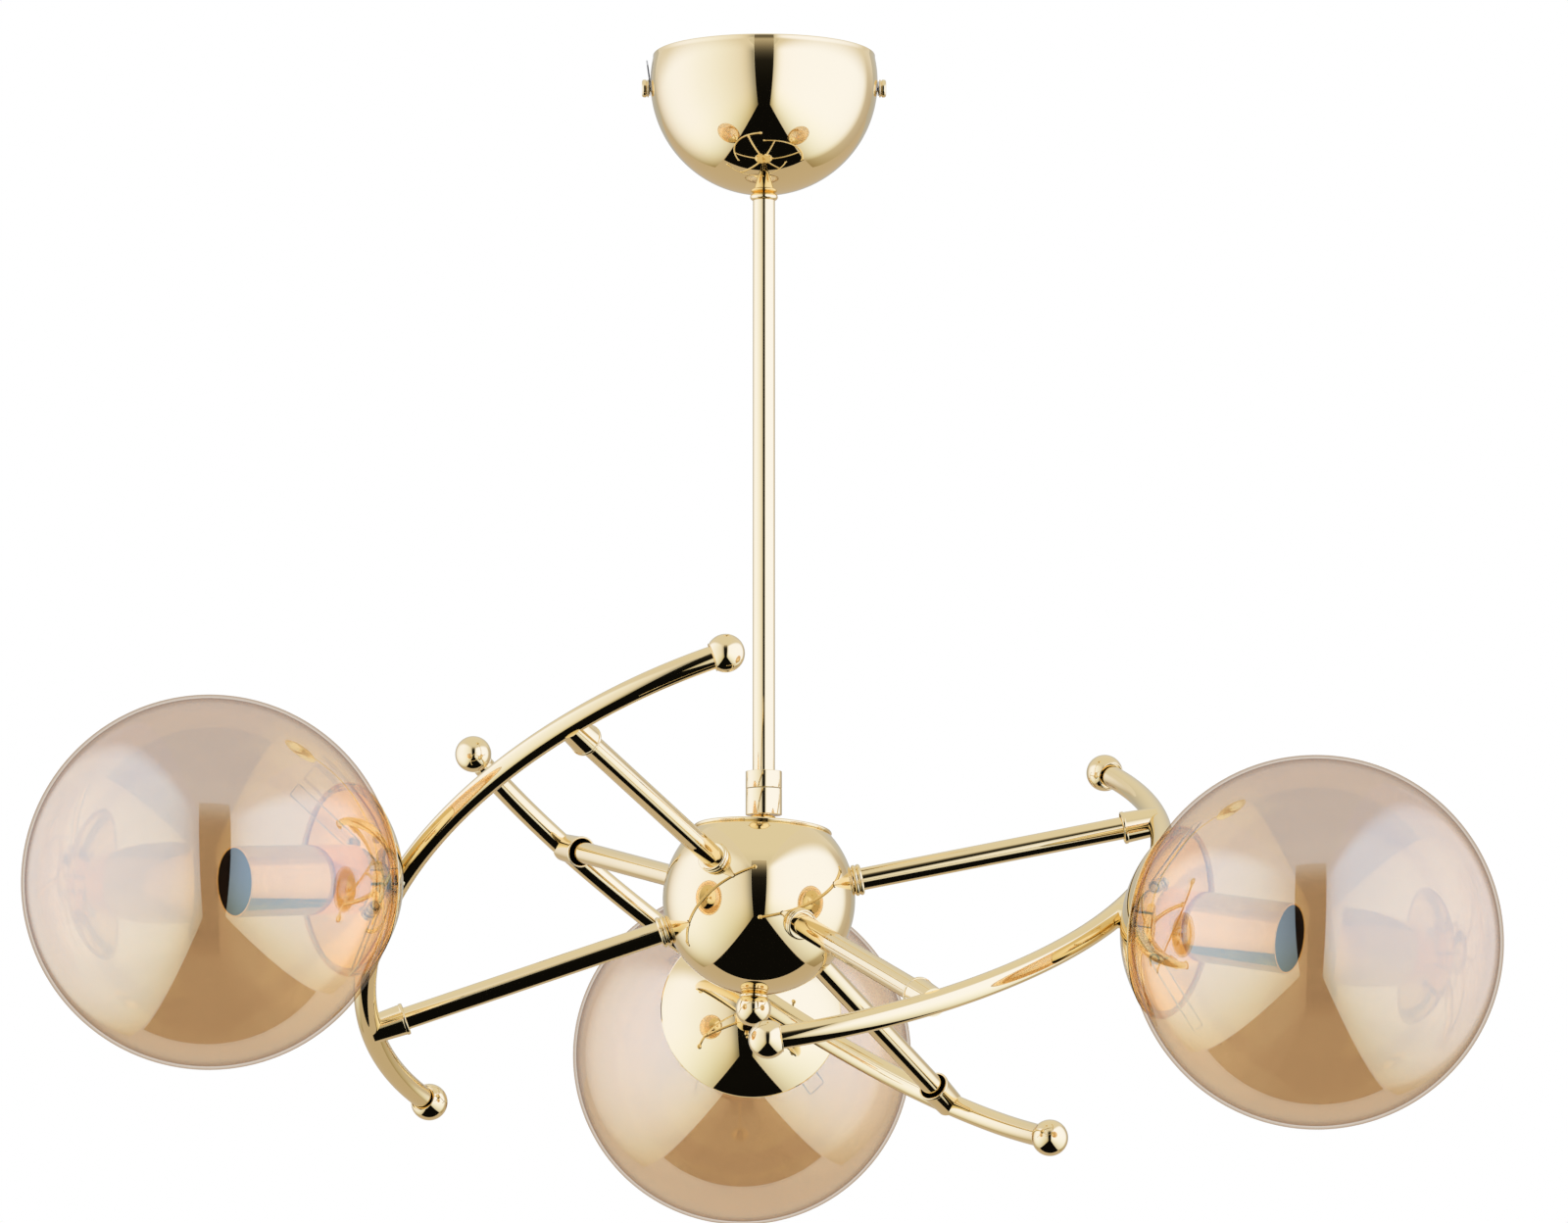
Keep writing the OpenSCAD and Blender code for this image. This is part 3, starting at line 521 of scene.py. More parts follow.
GOLD = plated("polished_gold", (0.94, 0.765, 0.43), (0.935, 0.755, 0.42), 0.012, 0.035, 0.03)
RAW_BRASS = plated("raw_brass", (0.72, 0.54, 0.26), (0.62, 0.44, 0.2), 0.22, 0.36, 0.2)
STEEL = drawn_steel("bright_steel", (0.74, 0.75, 0.77), 0.16)
WIRE_STEEL = drawn_steel("spring_wire", (0.94, 0.94, 0.95), 0.05)
HOLDER_WHITE = moulded("holder_white", (0.86, 0.85, 0.81), 0.2)
COATED = coated_glass("champagne_film", (0.93, 0.685, 0.455), (0.74, 0.52, 0.32),
                      (0.66, 0.86, 1.0), (0.76, 0.97, 1.0), 0.35, 0.46)
OUTER_GLASS = coated_glass("outer_glass", (0.995, 0.995, 0.99), (0.62, 0.50, 0.38),
                           (1.0, 1.0, 1.0), (1.0, 1.0, 1.0), 0.04, 0.12)
# Painted shade: a near-black colour for the sleeves' inner wall in place of their plating, standing in for
# the shade inside them.
SLEEVE_PAINTED_SHADE = moulded("sleeve_painted_shade", (0.05, 0.035, 0.03), 0.45)


# Canopy, rod and collar


def canopy():
    """Turned ball shell, drawn in above its widest level, with a short upright lip at the ceiling."""
    r, inner = CANOPY_RADIUS, CANOPY_RADIUS - CANOPY_WALL
    hole = math.degrees(math.asin((NIPPLE_RADIUS + 0.0002) / r))
    drawn_in = CANOPY_SIDE - CANOPY_LIP
    lip_out = math.sqrt(r**2 - drawn_in**2)
    lip_in = math.sqrt(inner**2 - drawn_in**2)
    rim = (lip_out - lip_in) / 2
    outline = profile(
        arc(0, -CANOPY_SIDE, r, -90 + hole, math.degrees(math.asin(drawn_in / r)), 84),
        arc(lip_out - rim, -rim, rim, 0, 180, 9),
        arc(0, -CANOPY_SIDE, inner, math.degrees(math.asin(drawn_in / inner)), -90 + hole, 64),
    )
    piece("canopy_shell", [(turned(outline, np.eye(4), 192), True)], FIXED, GOLD, "polished_gold", ["canopy"])


def side_screws():
    """Knob with a flange, a groove and a rounded end, turned round the screw's axis at both sides."""
    start = CANOPY_RADIUS + TAB_THICKNESS + 2 * SEAT_GAP
    r, soft = KNOB_RADIUS, 0.0012
    outline = profile(
        (0, -0.012), (0.002, -0.012), (0.002, 0),
        arc(r - 0.0003, 0.0003, 0.0003, -90, 0, 5), arc(r - 0.0003, 0.0005, 0.0003, 0, 90, 5),
        (r - 0.0006, 0.0009), (r - 0.0006, 0.0013), (r - 0.0002, 0.0014), (r, 0.0016),
        arc(r - soft, KNOB_LENGTH - soft, soft, 0, 90, 10),
        (0.0016, KNOB_LENGTH), (0, KNOB_LENGTH),
    )
    grids = []
    for side in (-1, 1):
        place = shift(0, 0, -SIDE_SCREW_DROP) @ turn("Y", side * math.pi / 2) @ shift(0, 0, start)
        grids.append(turned(outline, place, 48))
    piece("side_screw_knobs", grids, FIXED, GOLD, "polished_gold", ["side_screws"])


def rod():
    """Tube with eased ends, turned round Z."""
    low, high = collar_seam + 0.003, bead_bottom - SEAT_GAP
    r, inner = ROD_RADIUS, ROD_RADIUS - ROD_WALL
    outline = rounded([(r, low), (r, high), (inner, high), (inner, low)], 0.0003)
    piece("hanging_rod", [(turned(outline, np.eye(4), 64), True)], FIXED, GOLD, "polished_gold", ["rod"])


def rod_bead():
    """Half-round bead with a fine step over it, under the dome's pole."""
    edge = BEAD_HEIGHT / 2
    hole = NIPPLE_RADIUS + THREAD_GAP
    outline = profile(
        (hole, bead_bottom), (BEAD_RADIUS - edge, bead_bottom),
        arc(BEAD_RADIUS - edge, bead_bottom + edge, edge, -90, 80, 20),
        (BEAD_RADIUS - edge - 0.0003, bead_bottom + BEAD_HEIGHT + 0.00035),
        (hole, bead_bottom + BEAD_HEIGHT + 0.0002),
    )
    grid = turned(outline, np.eye(4), 80)
    piece("rod_bead_ring", [(grid, True)], FIXED, GOLD, "polished_gold", ["rod_bead"])


def collar():
    """Two turned halves with a fine seam: the upper takes the rod, the lower carries the ball."""
    r = COLLAR_RADIUS
    top, seam = collar_top, collar_seam
    bore = ROD_RADIUS + THREAD_GAP
    upper = [(0.0035, seam), (r, seam), (r, top), (bore, top), (bore, seam + 0.003),
             (0.0035, seam + 0.003)]
    low, high = collar_bottom, collar_bottom + COLLAR_LOWER
    bore = BALL_RADIUS + 0.0004
    lower = [(BALL_SEAT_RADIUS, low), (r, low), (r, high), (bore, high), (bore, low + BALL_SEAT),
             (BALL_SEAT_RADIUS, low + BALL_SEAT)]
    for name, corners in (("collar_upper", upper), ("collar_lower", lower)):
        grid = turned(rounded(corners, 0.00035, 5), np.eye(4), 80)
        piece(name + "_half", [(grid, True)], FIXED, GOLD, "polished_gold", [name])


# Swivel ball, hub and finial


def ball_stud():
    """Swivel ball, neck and foot, turned as one piece round the leaning axis."""
    foot = lid_top + SEAT_GAP
    top = foot + FOOT_HEIGHT
    neck_end = hub_drop - math.sqrt(BALL_RADIUS**2 - NECK_RADIUS**2)
    start = -math.degrees(math.acos(NECK_RADIUS / BALL_RADIUS))
    outline = profile(
        (0, foot), (FOOT_RADIUS, foot), (FOOT_RADIUS, top - FOOT_CHAMFER),
        (FOOT_RADIUS - FOOT_CHAMFER, top), (NECK_RADIUS, top), (NECK_RADIUS, neck_end),
        arc(0, hub_drop, BALL_RADIUS, start, 90, 24),
    )
    piece("swivel_ball", [turned(outline, hub_frame, 64)], HUNG, GOLD, "polished_gold", ["ball_stud"])


def hub():
    """Spun ball open under its lid, and the lid with a rolled edge and a fine raised ring."""
    top = math.degrees(math.asin((LID_LEVEL - SEAT_GAP) / HUB_RADIUS))
    inner = HUB_RADIUS - HUB_WALL
    inner_top = math.degrees(math.asin((LID_LEVEL - SEAT_GAP) / inner))
    hole = math.degrees(math.asin((NIPPLE_RADIUS + 0.0002) / HUB_RADIUS))
    outline = profile(
        arc(0, 0, HUB_RADIUS, -90 + hole, top, 96),
        arc(0, 0, inner, inner_top, -90 + hole, 64),
    )
    piece("hub_ball", [(turned(outline, hub_frame, 192), True)], HUNG, GOLD, "polished_gold", ["hub_shell"])
    edge = lid_radius + LID_LIP
    hole_r = NIPPLE_RADIUS + 0.0002
    lid = profile(
        (hole_r, LID_LEVEL), (edge - 0.001, LID_LEVEL),
        arc(edge - 0.001, LID_LEVEL + 0.001, 0.001, -90, 90, 14),
        (edge - 0.0022, lid_top), (edge - 0.0026, lid_top - 0.00025), (edge - 0.0032, lid_top - 0.00025),
        (edge - 0.0036, lid_top), (hole_r, lid_top),
    )
    piece("hub_cover", [(turned(lid, hub_frame, 160), True)], HUNG, GOLD, "polished_gold", ["hub_lid"])


def finial():
    """Ring and ball under the hub, with the ball's neck cut flat."""
    edge = FINIAL_RING_HEIGHT / 2
    low = -HUB_RADIUS - FINIAL_RING_HEIGHT
    hole = NIPPLE_RADIUS + THREAD_GAP
    ring = profile(
        (hole, low), (FINIAL_RING_RADIUS - edge, low),
        arc(FINIAL_RING_RADIUS - edge, low + edge, edge, -90, 70, 18),
        (FINIAL_RING_RADIUS - edge - 0.0002, low + FINIAL_RING_HEIGHT + 0.0004),
        (hole, low + FINIAL_RING_HEIGHT + 0.0002),
    )
    piece("finial_bead", [(turned(ring, hub_frame, 80), True)], HUNG, GOLD, "polished_gold", ["finial_ring"])
    centre = low - SEAT_GAP - FINIAL_NECK
    top = math.degrees(math.asin(FINIAL_NECK / FINIAL_RADIUS))
    ball = profile(arc(0, centre, FINIAL_RADIUS, -90, top, 48), (0, centre + FINIAL_NECK))
    piece("finial_knob", [turned(ball, hub_frame, 96)], HUNG, GOLD, "polished_gold", ["finial_ball"])


# Arms, cups and curved tubes


def arm_rings():
    """Two rounded beads round each arm, seated on the hub."""
    bead = ARM_RING_LENGTH / 4
    inner = ARM_RADIUS + SEAT_GAP
    base = HUB_RADIUS - 0.001
    outline = profile(
        (inner, base), (ARM_RING_RADIUS - bead, base),
        arc(ARM_RING_RADIUS - bead, base + 0.001 + bead, bead, -90, 62, 12),
        arc(ARM_RING_RADIUS - bead, base + 0.001 + 3 * bead, bead, -62, 90, 12),
        (inner, base + 0.001 + 4 * bead),
    )
    grids = [(turned(outline, arm_frame(i, side)[0], 64), True) for i in range(3) for side in (-1, 1)]
    piece("arm_ring_beads", grids, HUNG, GOLD, "polished_gold", ["arm_rings"])


def arm(i, side, label):
    """Straight tube from inside the hub to inside its cup."""
    place, reach = arm_frame(i, side)
    low, high = HUB_RADIUS - HUB_WALL - 0.002, reach - TUBE_RADIUS - 0.0003
    inner = ARM_RADIUS - ARM_WALL
    outline = profile((ARM_RADIUS, low), (ARM_RADIUS, high), (inner, high), (inner, low))
    node = f"arm_{i + 1}_{label}"
    piece(node + "_tube", [(turned(outline, place, 48), True)], HUNG, GOLD, "polished_gold", [node])


def saddle_height(i, place, radius, start, end, sides):
    """Where lines along a cup's surface first meet the curved tube, one for each angle.

    The lines run from start to end, each a (radius, height) pair. Along every line 160 points
    are measured: their distance from the tube's circle is the square root of the squares of
    the height off its plane and of the difference between their distance from its middle and
    the circle's radius. The first point inside the tube ends the line.
    """
    t = np.linspace(0, 1, 160)[:, None]
    angle = np.linspace(0, math.tau, sides, endpoint=False)[None]
    r = start[0] + (end[0] - start[0]) * t + 0 * angle
    z = start[1] + (end[1] - start[1]) * t + 0 * angle
    world = moved(np.stack([r * np.cos(angle), r * np.sin(angle), z], -1), place)
    local = moved(world, np.linalg.inv(curve_frame(i)))
    gap = np.hypot(np.hypot(local[..., 0], local[..., 1]) - ARC_RADIUS, local[..., 2])
    inside = gap < radius
    first = np.where(inside.any(0), inside.argmax(0), len(t) - 1)
    return t[first, 0]


def cup(i, side, label):
    """Tapered cup with a rim at its mouth, whose far end is cut to the curved tube."""
    sides = 72
    place, reach = arm_frame(i, side)
    mouth = reach - TUBE_RADIUS - CUP_LENGTH
    start = (CUP_MOUTH_RADIUS - 0.0004, mouth + CUP_RIM)
    end = (CUP_END_RADIUS, reach)
    share = saddle_height(i, place, TUBE_RADIUS - 0.0001, start, end, sides)
    angle = np.linspace(0, math.tau, sides, endpoint=False)
    lip = profile(
        (ARM_RADIUS + THREAD_GAP, mouth + 0.006),
        (CUP_MOUTH_RADIUS - CUP_WALL - 0.0004, mouth + CUP_RIM + 0.001),
        (CUP_MOUTH_RADIUS - CUP_WALL, mouth + 0.0002),
        arc(CUP_MOUTH_RADIUS - CUP_WALL / 2, mouth + CUP_WALL / 2, CUP_WALL / 2, 190, 360, 10),
        arc(CUP_MOUTH_RADIUS - 0.0004, mouth + CUP_RIM - 0.0004, 0.0004, 0, 90, 5),
    )
    mouth_grid = turned(lip, np.eye(4), sides)
    steps = np.linspace(0.02, 1, 24)[:, None] * share[None]
    r = start[0] + (end[0] - start[0]) * steps
    z = start[1] + (end[1] - start[1]) * steps
    taper = np.stack([r * np.cos(angle), r * np.sin(angle), z], -1)
    inner_r = ARM_RADIUS + THREAD_GAP
    inner_end = np.stack([inner_r * np.cos(angle), inner_r * np.sin(angle), z[-1]], -1)[None]
    grid = moved(np.concatenate([mouth_grid, taper, inner_end]), place)
    node = f"cup_{i + 1}_{label}"
    piece(node + "_taper", [(grid, True)], HUNG, GOLD, "polished_gold", [node])


def curved_tube(i):
    """Round tube along its circle, closed inside the end balls, with steps of half a degree."""
    half = ARC_HALF - 0.001 / ARC_RADIUS
    a = np.linspace(-half, half, 228)
    path = np.c_[ARC_RADIUS * np.cos(a), ARC_RADIUS * np.sin(a), 0 * a]
    tube = moved(swept(path, circle(TUBE_RADIUS, 48), (0, 0, 1)), curve_frame(i))
    node = f"arc_{i + 1}"
    piece(node + "_tube", [tube], HUNG, GOLD, "polished_gold", [node])


def end_balls(i):
    """Ball with a bore for the tube and a wider recess at its mouth, at both ends of a tube."""
    recess_r, bore = TUBE_RADIUS + 0.001, TUBE_RADIUS + 0.00035
    mouth = math.sqrt(END_BALL_RADIUS**2 - recess_r**2)
    stop = math.degrees(math.atan2(mouth, recess_r))
    outline = profile(
        arc(0, 0, END_BALL_RADIUS, -90, stop - 2.5, 48),
        arc(recess_r + 0.0003, mouth - 0.0001, 0.0003, 30, 175, 6),
        (recess_r, mouth - 0.0024), (bore, mouth - 0.0024), (bore, 0), (0, 0),
    )
    grids = []
    for side in (-1, 1):
        at_end = turn("Z", side * ARC_HALF) @ shift(ARC_RADIUS, 0, 0) @ turn("X", side * math.pi / 2)
        grids.append(turned(outline, curve_frame(i) @ at_end, 80))
    node = f"arc_balls_{i + 1}"
    piece(node + "_pair", grids, HUNG, GOLD, "polished_gold", [node])


# Dishes, strips, sleeves and lampholders


def lamp_studs():
    """Stud through each curved tube, with a saddle washer under the dish."""
    end = holder_back + 0.008
    outline = profile(
        (0, 0), (NIPPLE_RADIUS, 0), (NIPPLE_RADIUS, 0.002), (WASHER_RADIUS, 0.002),
        arc(WASHER_RADIUS - 0.0005, DISH_BACK - 0.0006, 0.0005, 0, 90, 5),
        (NIPPLE_RADIUS, DISH_BACK - 0.0001), (NIPPLE_RADIUS, end), (0, end),
    )
    grids = [turned(outline, holder_round(i), 48) for i in range(3)]
    piece("lamp_stud_washers", grids, HUNG, GOLD, "polished_gold", ["lamp_studs"])


def dish(i):
    """Part of a ball's shell with a rounded rim, turned round the lampholder's axis."""
    outer = dish_curve + DISH_WALL
    stop_in = math.degrees(math.asin((dish_rim - dish_centre) / dish_curve))
    stop_out = math.degrees(math.asin((dish_rim - dish_centre) / outer))
    hole = math.degrees(math.asin((NIPPLE_RADIUS + 0.0002) / dish_curve))
    rim = np.array([outer * math.cos(math.radians(stop_out)), dish_rim])
    lip = arc(rim[0] - 0.0005, rim[1] - 0.0004, 0.0005, -20, 150, 8)
    outline = profile(
        arc(0, dish_centre, outer, -90 + hole, stop_out - 0.5, 64), lip,
        arc(0, dish_centre, dish_curve, stop_in - 0.5, -90 + hole, 56),
    )
    node = f"dish_{i + 1}"
    piece(node + "_pan", [(turned(outline, holder_round(i), 144), True)], HUNG, GOLD, "polished_gold", [node])


def spring_strip(i):
    """Bowed strip, wide round the stud and narrow at its ends, with an eye and a pin at each end."""
    a = np.linspace(-bow_angle, bow_angle, 161)
    path = np.c_[bow_centre - bow_radius * np.cos(a), 0 * a, bow_radius * np.sin(a)]
    along = np.abs(a) * bow_radius
    left = bow_angle * bow_radius - along
    tongue = 0.001 + (STRIP_WIDTH / 2 - 0.001) * np.clip((left - 0.0045) / 0.0025, 0, 1) ** 0.5
    round_middle = np.sqrt(np.maximum(strip_middle**2 - along**2, 0))
    half_width = np.maximum(tongue, round_middle)
    corners = rounded([(-1, -1), (1, -1), (1, 1), (-1, 1)], 0.25, 4)
    section = np.stack([
        np.broadcast_to(corners[:, 0], (len(a), len(corners))) * half_width[:, None],
        np.broadcast_to(corners[:, 1], (len(a), len(corners))) * STRIP_THICKNESS / 2,
    ], -1)
    band = swept(path, section, (1e-9, 0, 0) + path - (bow_centre, 0, 0))
    grids = [moved(band, strip_frame(i))]
    pin, long = COIL_RADIUS - WIRE / 2 - 0.0005, LEG_SPAN / 2 + 0.00075
    eye = profile(
        (0, -long), (pin - 0.0003, -long), (pin, -long + 0.0003), (pin, -0.001),
        (eye_radius - 0.0002, -0.001),
        (eye_radius, -0.0008), (eye_radius, 0.0008), (eye_radius - 0.0002, 0.001), (pin, 0.001),
        (pin, long - 0.0003), (pin - 0.0003, long), (0, long),
    )
    for side in (1, -1):
        place = strip_frame(i, side) @ shift(coil_place, 0, COIL_OUT) @ turn("X", math.pi / 2)
        grids.append(turned(eye, place, 32))
    node = f"strip_{i + 1}"
    piece(node + "_bow", grids, HUNG, STEEL, "bright_steel", [node])


def sleeve(i):
    """Drawn tube with a floor and a rolled lip at its mouth, with painted shade inside: its inner wall is
    coloured near black.
    """
    r, inner = SLEEVE_RADIUS, SLEEVE_RADIUS - SLEEVE_WALL
    low, high = sleeve_back, sleeve_back + SLEEVE_LENGTH
    half = SLEEVE_WALL / 2
    hole = NIPPLE_RADIUS + 0.0002
    outline = profile(
        (hole, low), (r - 0.0008, low), arc(r - 0.0008, low + 0.0008, 0.0008, -80, 0, 6),
        arc(r - half, high - half, half, 0, 180, 12),
        (inner, low + 0.0012), (hole, low + 0.0012),
    )
    node = f"sleeve_{i + 1}"
    place = holder_round(i)
    made = piece(node + "_shell", [(turned(outline, place, 96), True)], HUNG, GOLD, "polished_gold", [node])
    out, along = face_reach(made, place)
    # Painted shade: the inner wall, short of its floor and lip, gets the near-black finish.
    second_finish(made, SLEEVE_PAINTED_SHADE, (out < inner + 0.0001) & (along > low + 0.0006) & (along < high - 0.001))


def lampholder(i):
    """Holder body with a rolled screw thread in its bore and a contact on its floor.

    The thread is the bore's radius less a wave: depth times (1 - cos(turns + angle)) / 2, where
    turns counts one wave for each rise of the pitch.
    """
    place = holder_round(i) @ shift(0, 0, holder_back)
    r, bore, top = holder_radius, HOLDER_BORE, HOLDER_LENGTH
    floor = top - HOLDER_BORE_DEPTH
    body = profile(
        (NIPPLE_RADIUS, 0), (r - 0.0006, 0), (r, 0.0006), (r, top - 0.001),
        arc(r - 0.001, top - 0.001, 0.001, 0, 90, 6), (bore + 0.0018, top), (bore + 0.0016, top - 0.0012),
        (bore, top - 0.0014), (bore, floor), (NIPPLE_RADIUS, floor),
    )
    node = f"lampholder_{i + 1}"
    grid = turned(body, place, 80)
    made = piece(node + "_body", [(grid, True)], HUNG, HOLDER_WHITE, "holder_white", [node])
    pitch, depth, sides = 0.0036, 0.0009, 72
    z = np.linspace(floor + 0.002, top - 0.003, 90)[:, None]
    t = np.linspace(0, math.tau, sides, endpoint=False)[None]
    wave = depth * (1 - np.cos(math.tau * z / pitch + t)) / 2
    walls = [bore - gap - wave for gap in (0.00015, 0.0005)]
    outside, inside = [np.stack([wall * np.cos(t), wall * np.sin(t), z + 0 * t], -1) for wall in walls]
    shell = moved(np.concatenate([outside, inside[::-1]]), place)
    piece(f"thread_shell_{i + 1}", [(shell, True)], HUNG, RAW_BRASS, "raw_brass")
    dome = arc(0, floor - 0.001, 0.0045, 50, 90, 8)
    contact = profile((0, floor), (0.004, floor), (0.004, floor + 0.0012), dome)
    piece(f"centre_contact_{i + 1}", [turned(contact, place, 32)], HUNG, RAW_BRASS, "raw_brass")
    return made


# Springs and globes


def spring_path():
    """Middle line of a spring: helix, straight leg, rounded tip and the same mirrored in Y.

    The helix is COIL_RADIUS times cosine and sine in X and Z, rising by the pitch for each turn
    in Y. It leaves its last turn along +X at the height of the radius, where the leg starts.
    """
    turns = np.linspace(COIL_TURNS, 0, 121)
    a = math.pi / 2 + math.tau * turns
    start = LEG_SPAN / 2 - COIL_PITCH * COIL_TURNS
    coil = np.c_[COIL_RADIUS * np.cos(a), start + COIL_PITCH * (COIL_TURNS - turns), COIL_RADIUS * np.sin(a)]
    first = coil[:1] + np.array([[-math.sin(a[0]), 0, math.cos(a[0])]]) * WIRE
    x = np.linspace(0.001, LEG_LENGTH - 0.0016, 40)
    leg = np.c_[x, 0 * x + LEG_SPAN / 2, 0 * x + COIL_RADIUS]
    b = np.linspace(0, math.pi / 2, 10)
    bend = 0.0015
    tip_x = LEG_LENGTH - bend + bend * np.sin(b)
    tip_y = LEG_SPAN / 2 - bend + bend * np.cos(b)
    tip = np.c_[tip_x, tip_y, 0 * b + COIL_RADIUS]
    half = np.vstack([first, coil, leg, tip])
    return np.vstack([half, half[::-1] * (1, -1, 1)])


def carried_tube(path, radius, sides):
    """A circle carried along a path with the least twist.

    At each point the normal is the last one less its share along the new direction, set back to
    length 1. The loop runs over the path's points and not over the surface's vertices.
    """
    ahead = np.vstack([path[1:], 2 * path[-1:] - path[-2:-1]])
    behind = np.vstack([2 * path[:1] - path[1:2], path[:-1]])
    along = (ahead - behind) / np.linalg.norm(ahead - behind, axis=1)[:, None]
    normal = np.array([0.0, 1.0, 0.2])
    side = np.zeros_like(path)
    for k, direction in enumerate(along):
        normal = normal - normal @ direction * direction
        normal = normal / np.linalg.norm(normal)
        side[k] = normal
    top = np.cross(along, side)
    s = circle(radius, sides)
    return path[:, None] + s[:, :1] * side[:, None] + s[:, 1:] * top[:, None]


def spring(i, side, label):
    """Round wire spring on its pin, with both legs and the tip inside the globe."""
    place = strip_frame(i, side) @ shift(coil_place, 0, COIL_OUT) @ turn("Y", -LEG_ANGLE)
    wire = moved(carried_tube(spring_path(), WIRE / 2, 12), place)
    node = f"spring_{i + 1}_{label}"
    piece(node + "_wire", [wire], node + "_body", WIRE_STEEL, "bright_steel", [node], crease=60)


def globe(i):
    """Blown ball of glass with a cut opening and a rounded lip.

    The outer wall carries the clear finish and the inner wall the champagne film.
    """
    inner = GLOBE_RADIUS - GLASS
    start = -math.degrees(math.asin(opening_level / GLOBE_RADIUS))
    inner_start = -math.degrees(math.asin(opening_level / inner))
    place = holder_round(i) @ shift(0, 0, globe_centre)
    node = f"globe_{i + 1}"
    outline = profile(
        arc(0, 0, GLOBE_RADIUS, start + 0.35, 90, 120), arc(0, 0, inner, 90, inner_start + 0.35, 120),
        arc(OPENING_RADIUS - 0.0015, -opening_level + 0.0009, 0.0008, 200, 330, 8),
    )
    grid = turned(outline, place, 192)
    glass = (node + "_glass", [(grid, True)], node + "_body", OUTER_GLASS, "smoke_glass", [node])
    made = piece(*glass, crease=50)
    second_finish(made, COATED, np.hypot(*face_reach(made, place)) < GLOBE_RADIUS - GLASS / 2)
    return made


canopy()
side_screws()
rod()
rod_bead()
collar()
ball_stud()
hub()
finial()
arm_rings()
lamp_studs()
for i in range(3):
    for side, label in ((1, "upper"), (-1, "lower")):
        arm(i, side, label)
        cup(i, side, label)
        spring(i, side, label)
    curved_tube(i)
    end_balls(i)
    dish(i)
    spring_strip(i)
    sleeve(i)
    lampholder(i)
    globe(i)

# Finishes of the CAD nodes that stay
for names, finish in (
    (("ceiling_bracket", "side_tabs", "canopy_nut", "hub_nut"), STEEL),
    (("rod_nipple", "hub_tube"), RAW_BRASS),
    (("connector_block",), HOLDER_WHITE),
):
    for name in names:
        nodes[name].data.materials.clear()
        nodes[name].data.materials.append(finish)


# Studio: pale floor, two tall soft panels either side of the camera, a dark strip between them

FLOOR_HEIGHT = -1.68
PANEL_TOP = 1.25
PANEL_NEAR = (0.31, -2.5)
PANEL_FAR = (1.10, 1.50)
PANEL_LEAN = 0.17
PANEL_LIGHT = 2.0
INSIDE_LIFT = 1.25
LEFT_STOPS = (0.00, 0.10, 0.20, 0.30, 0.42, 0.55, 0.64, 0.73, 0.82, 0.92, 1.00)
LEFT_ON_METAL = (
    (0.14, 0.14, 0.14), (0.25, 0.25, 0.26), (0.39, 0.39, 0.41), (0.43, 0.45, 0.53), (0.46, 0.50, 0.62),
    (0.50, 0.57, 0.82), (0.52, 0.59, 0.91), (0.50, 0.57, 0.82), (0.45, 0.47, 0.60), (0.34, 0.34, 0.36),
    (0.26, 0.23, 0.20),
)
LEFT_BY_GLASS = (
    (0.34, 0.33, 0.33), (0.39, 0.38, 0.38), (0.44, 0.44, 0.44), (0.49, 0.52, 0.54), (0.57, 0.61, 0.65),
    (0.64, 0.66, 0.70), (0.66, 0.65, 0.66), (0.63, 0.61, 0.60), (0.60, 0.57, 0.54), (0.48, 0.46, 0.44),
    (0.36, 0.33, 0.31),
)
RIGHT_STOPS = (0.00, 0.08, 0.16, 0.24, 0.40, 0.55, 0.66, 0.74, 0.78, 0.81, 1.00)
RIGHT_ON_METAL = (
    (0.28, 0.28, 0.28), (0.43, 0.45, 0.54), (0.50, 0.56, 0.80), (0.52, 0.59, 0.90), (0.52, 0.60, 0.93),
    (0.52, 0.60, 0.93), (0.52, 0.60, 0.93), (0.50, 0.57, 0.84), (0.42, 0.44, 0.52), (0.29, 0.27, 0.26),
    (0.26, 0.23, 0.20),
)
RIGHT_BY_GLASS = (
    (0.38, 0.37, 0.37), (0.44, 0.44, 0.45), (0.49, 0.50, 0.52), (0.52, 0.55, 0.58), (0.54, 0.60, 0.66),
    (0.57, 0.60, 0.65), (0.59, 0.59, 0.62), (0.60, 0.57, 0.58), (0.54, 0.50, 0.49), (0.42, 0.38, 0.36),
    (0.32, 0.29, 0.27),
)
FOOT_STOPS = (0.00, 0.10, 0.20, 0.31, 0.42, 1.00)
FOOT_TONES = (
    (0.62, 0.54, 0.36), (0.80, 0.75, 0.54), (0.90, 0.88, 0.74), (1.00, 0.99, 0.92), (1.00, 1.00, 1.00),
    (1.00, 1.00, 1.00),
)
PANEL_TOP_NEAR = (0.86, 1.02)
PANEL_TOP_FAR = 0.58
PANEL_TOP_LEVEL = 0.75
CEILING_TINT = (0.99, 0.99, 1.04)
DARK = 0.004
END_TOP = 1.75
END_STOPS = (0.00, 0.62, 0.76, 0.88, 1.00)
END_TONES = (
    (DARK, DARK, DARK), (DARK, DARK, DARK), (0.07, 0.065, 0.055), (0.32, 0.29, 0.24), (0.60, 0.56, 0.50),
)
STRIP_FAR = (0.90, 0.62)
FLOOR_GREY = (0.56, 0.49, 0.41)
SHADOW_REACH = 1.8
BACK_GREY = 0.5
CEILING_GREY = 0.77


def light_path(tree, *outputs):
    """1 for a ray of any of the named kinds, else 0."""
    path = add(tree, "ShaderNodeLightPath")
    total = path.outputs[outputs[0]]
    for name in outputs[1:]:
        more = add(tree, "ShaderNodeMath")
        more.operation = "MAXIMUM"
        tree.links.new(total, more.inputs[0])
        tree.links.new(path.outputs[name], more.inputs[1])
        total = more.outputs[0]
    return total


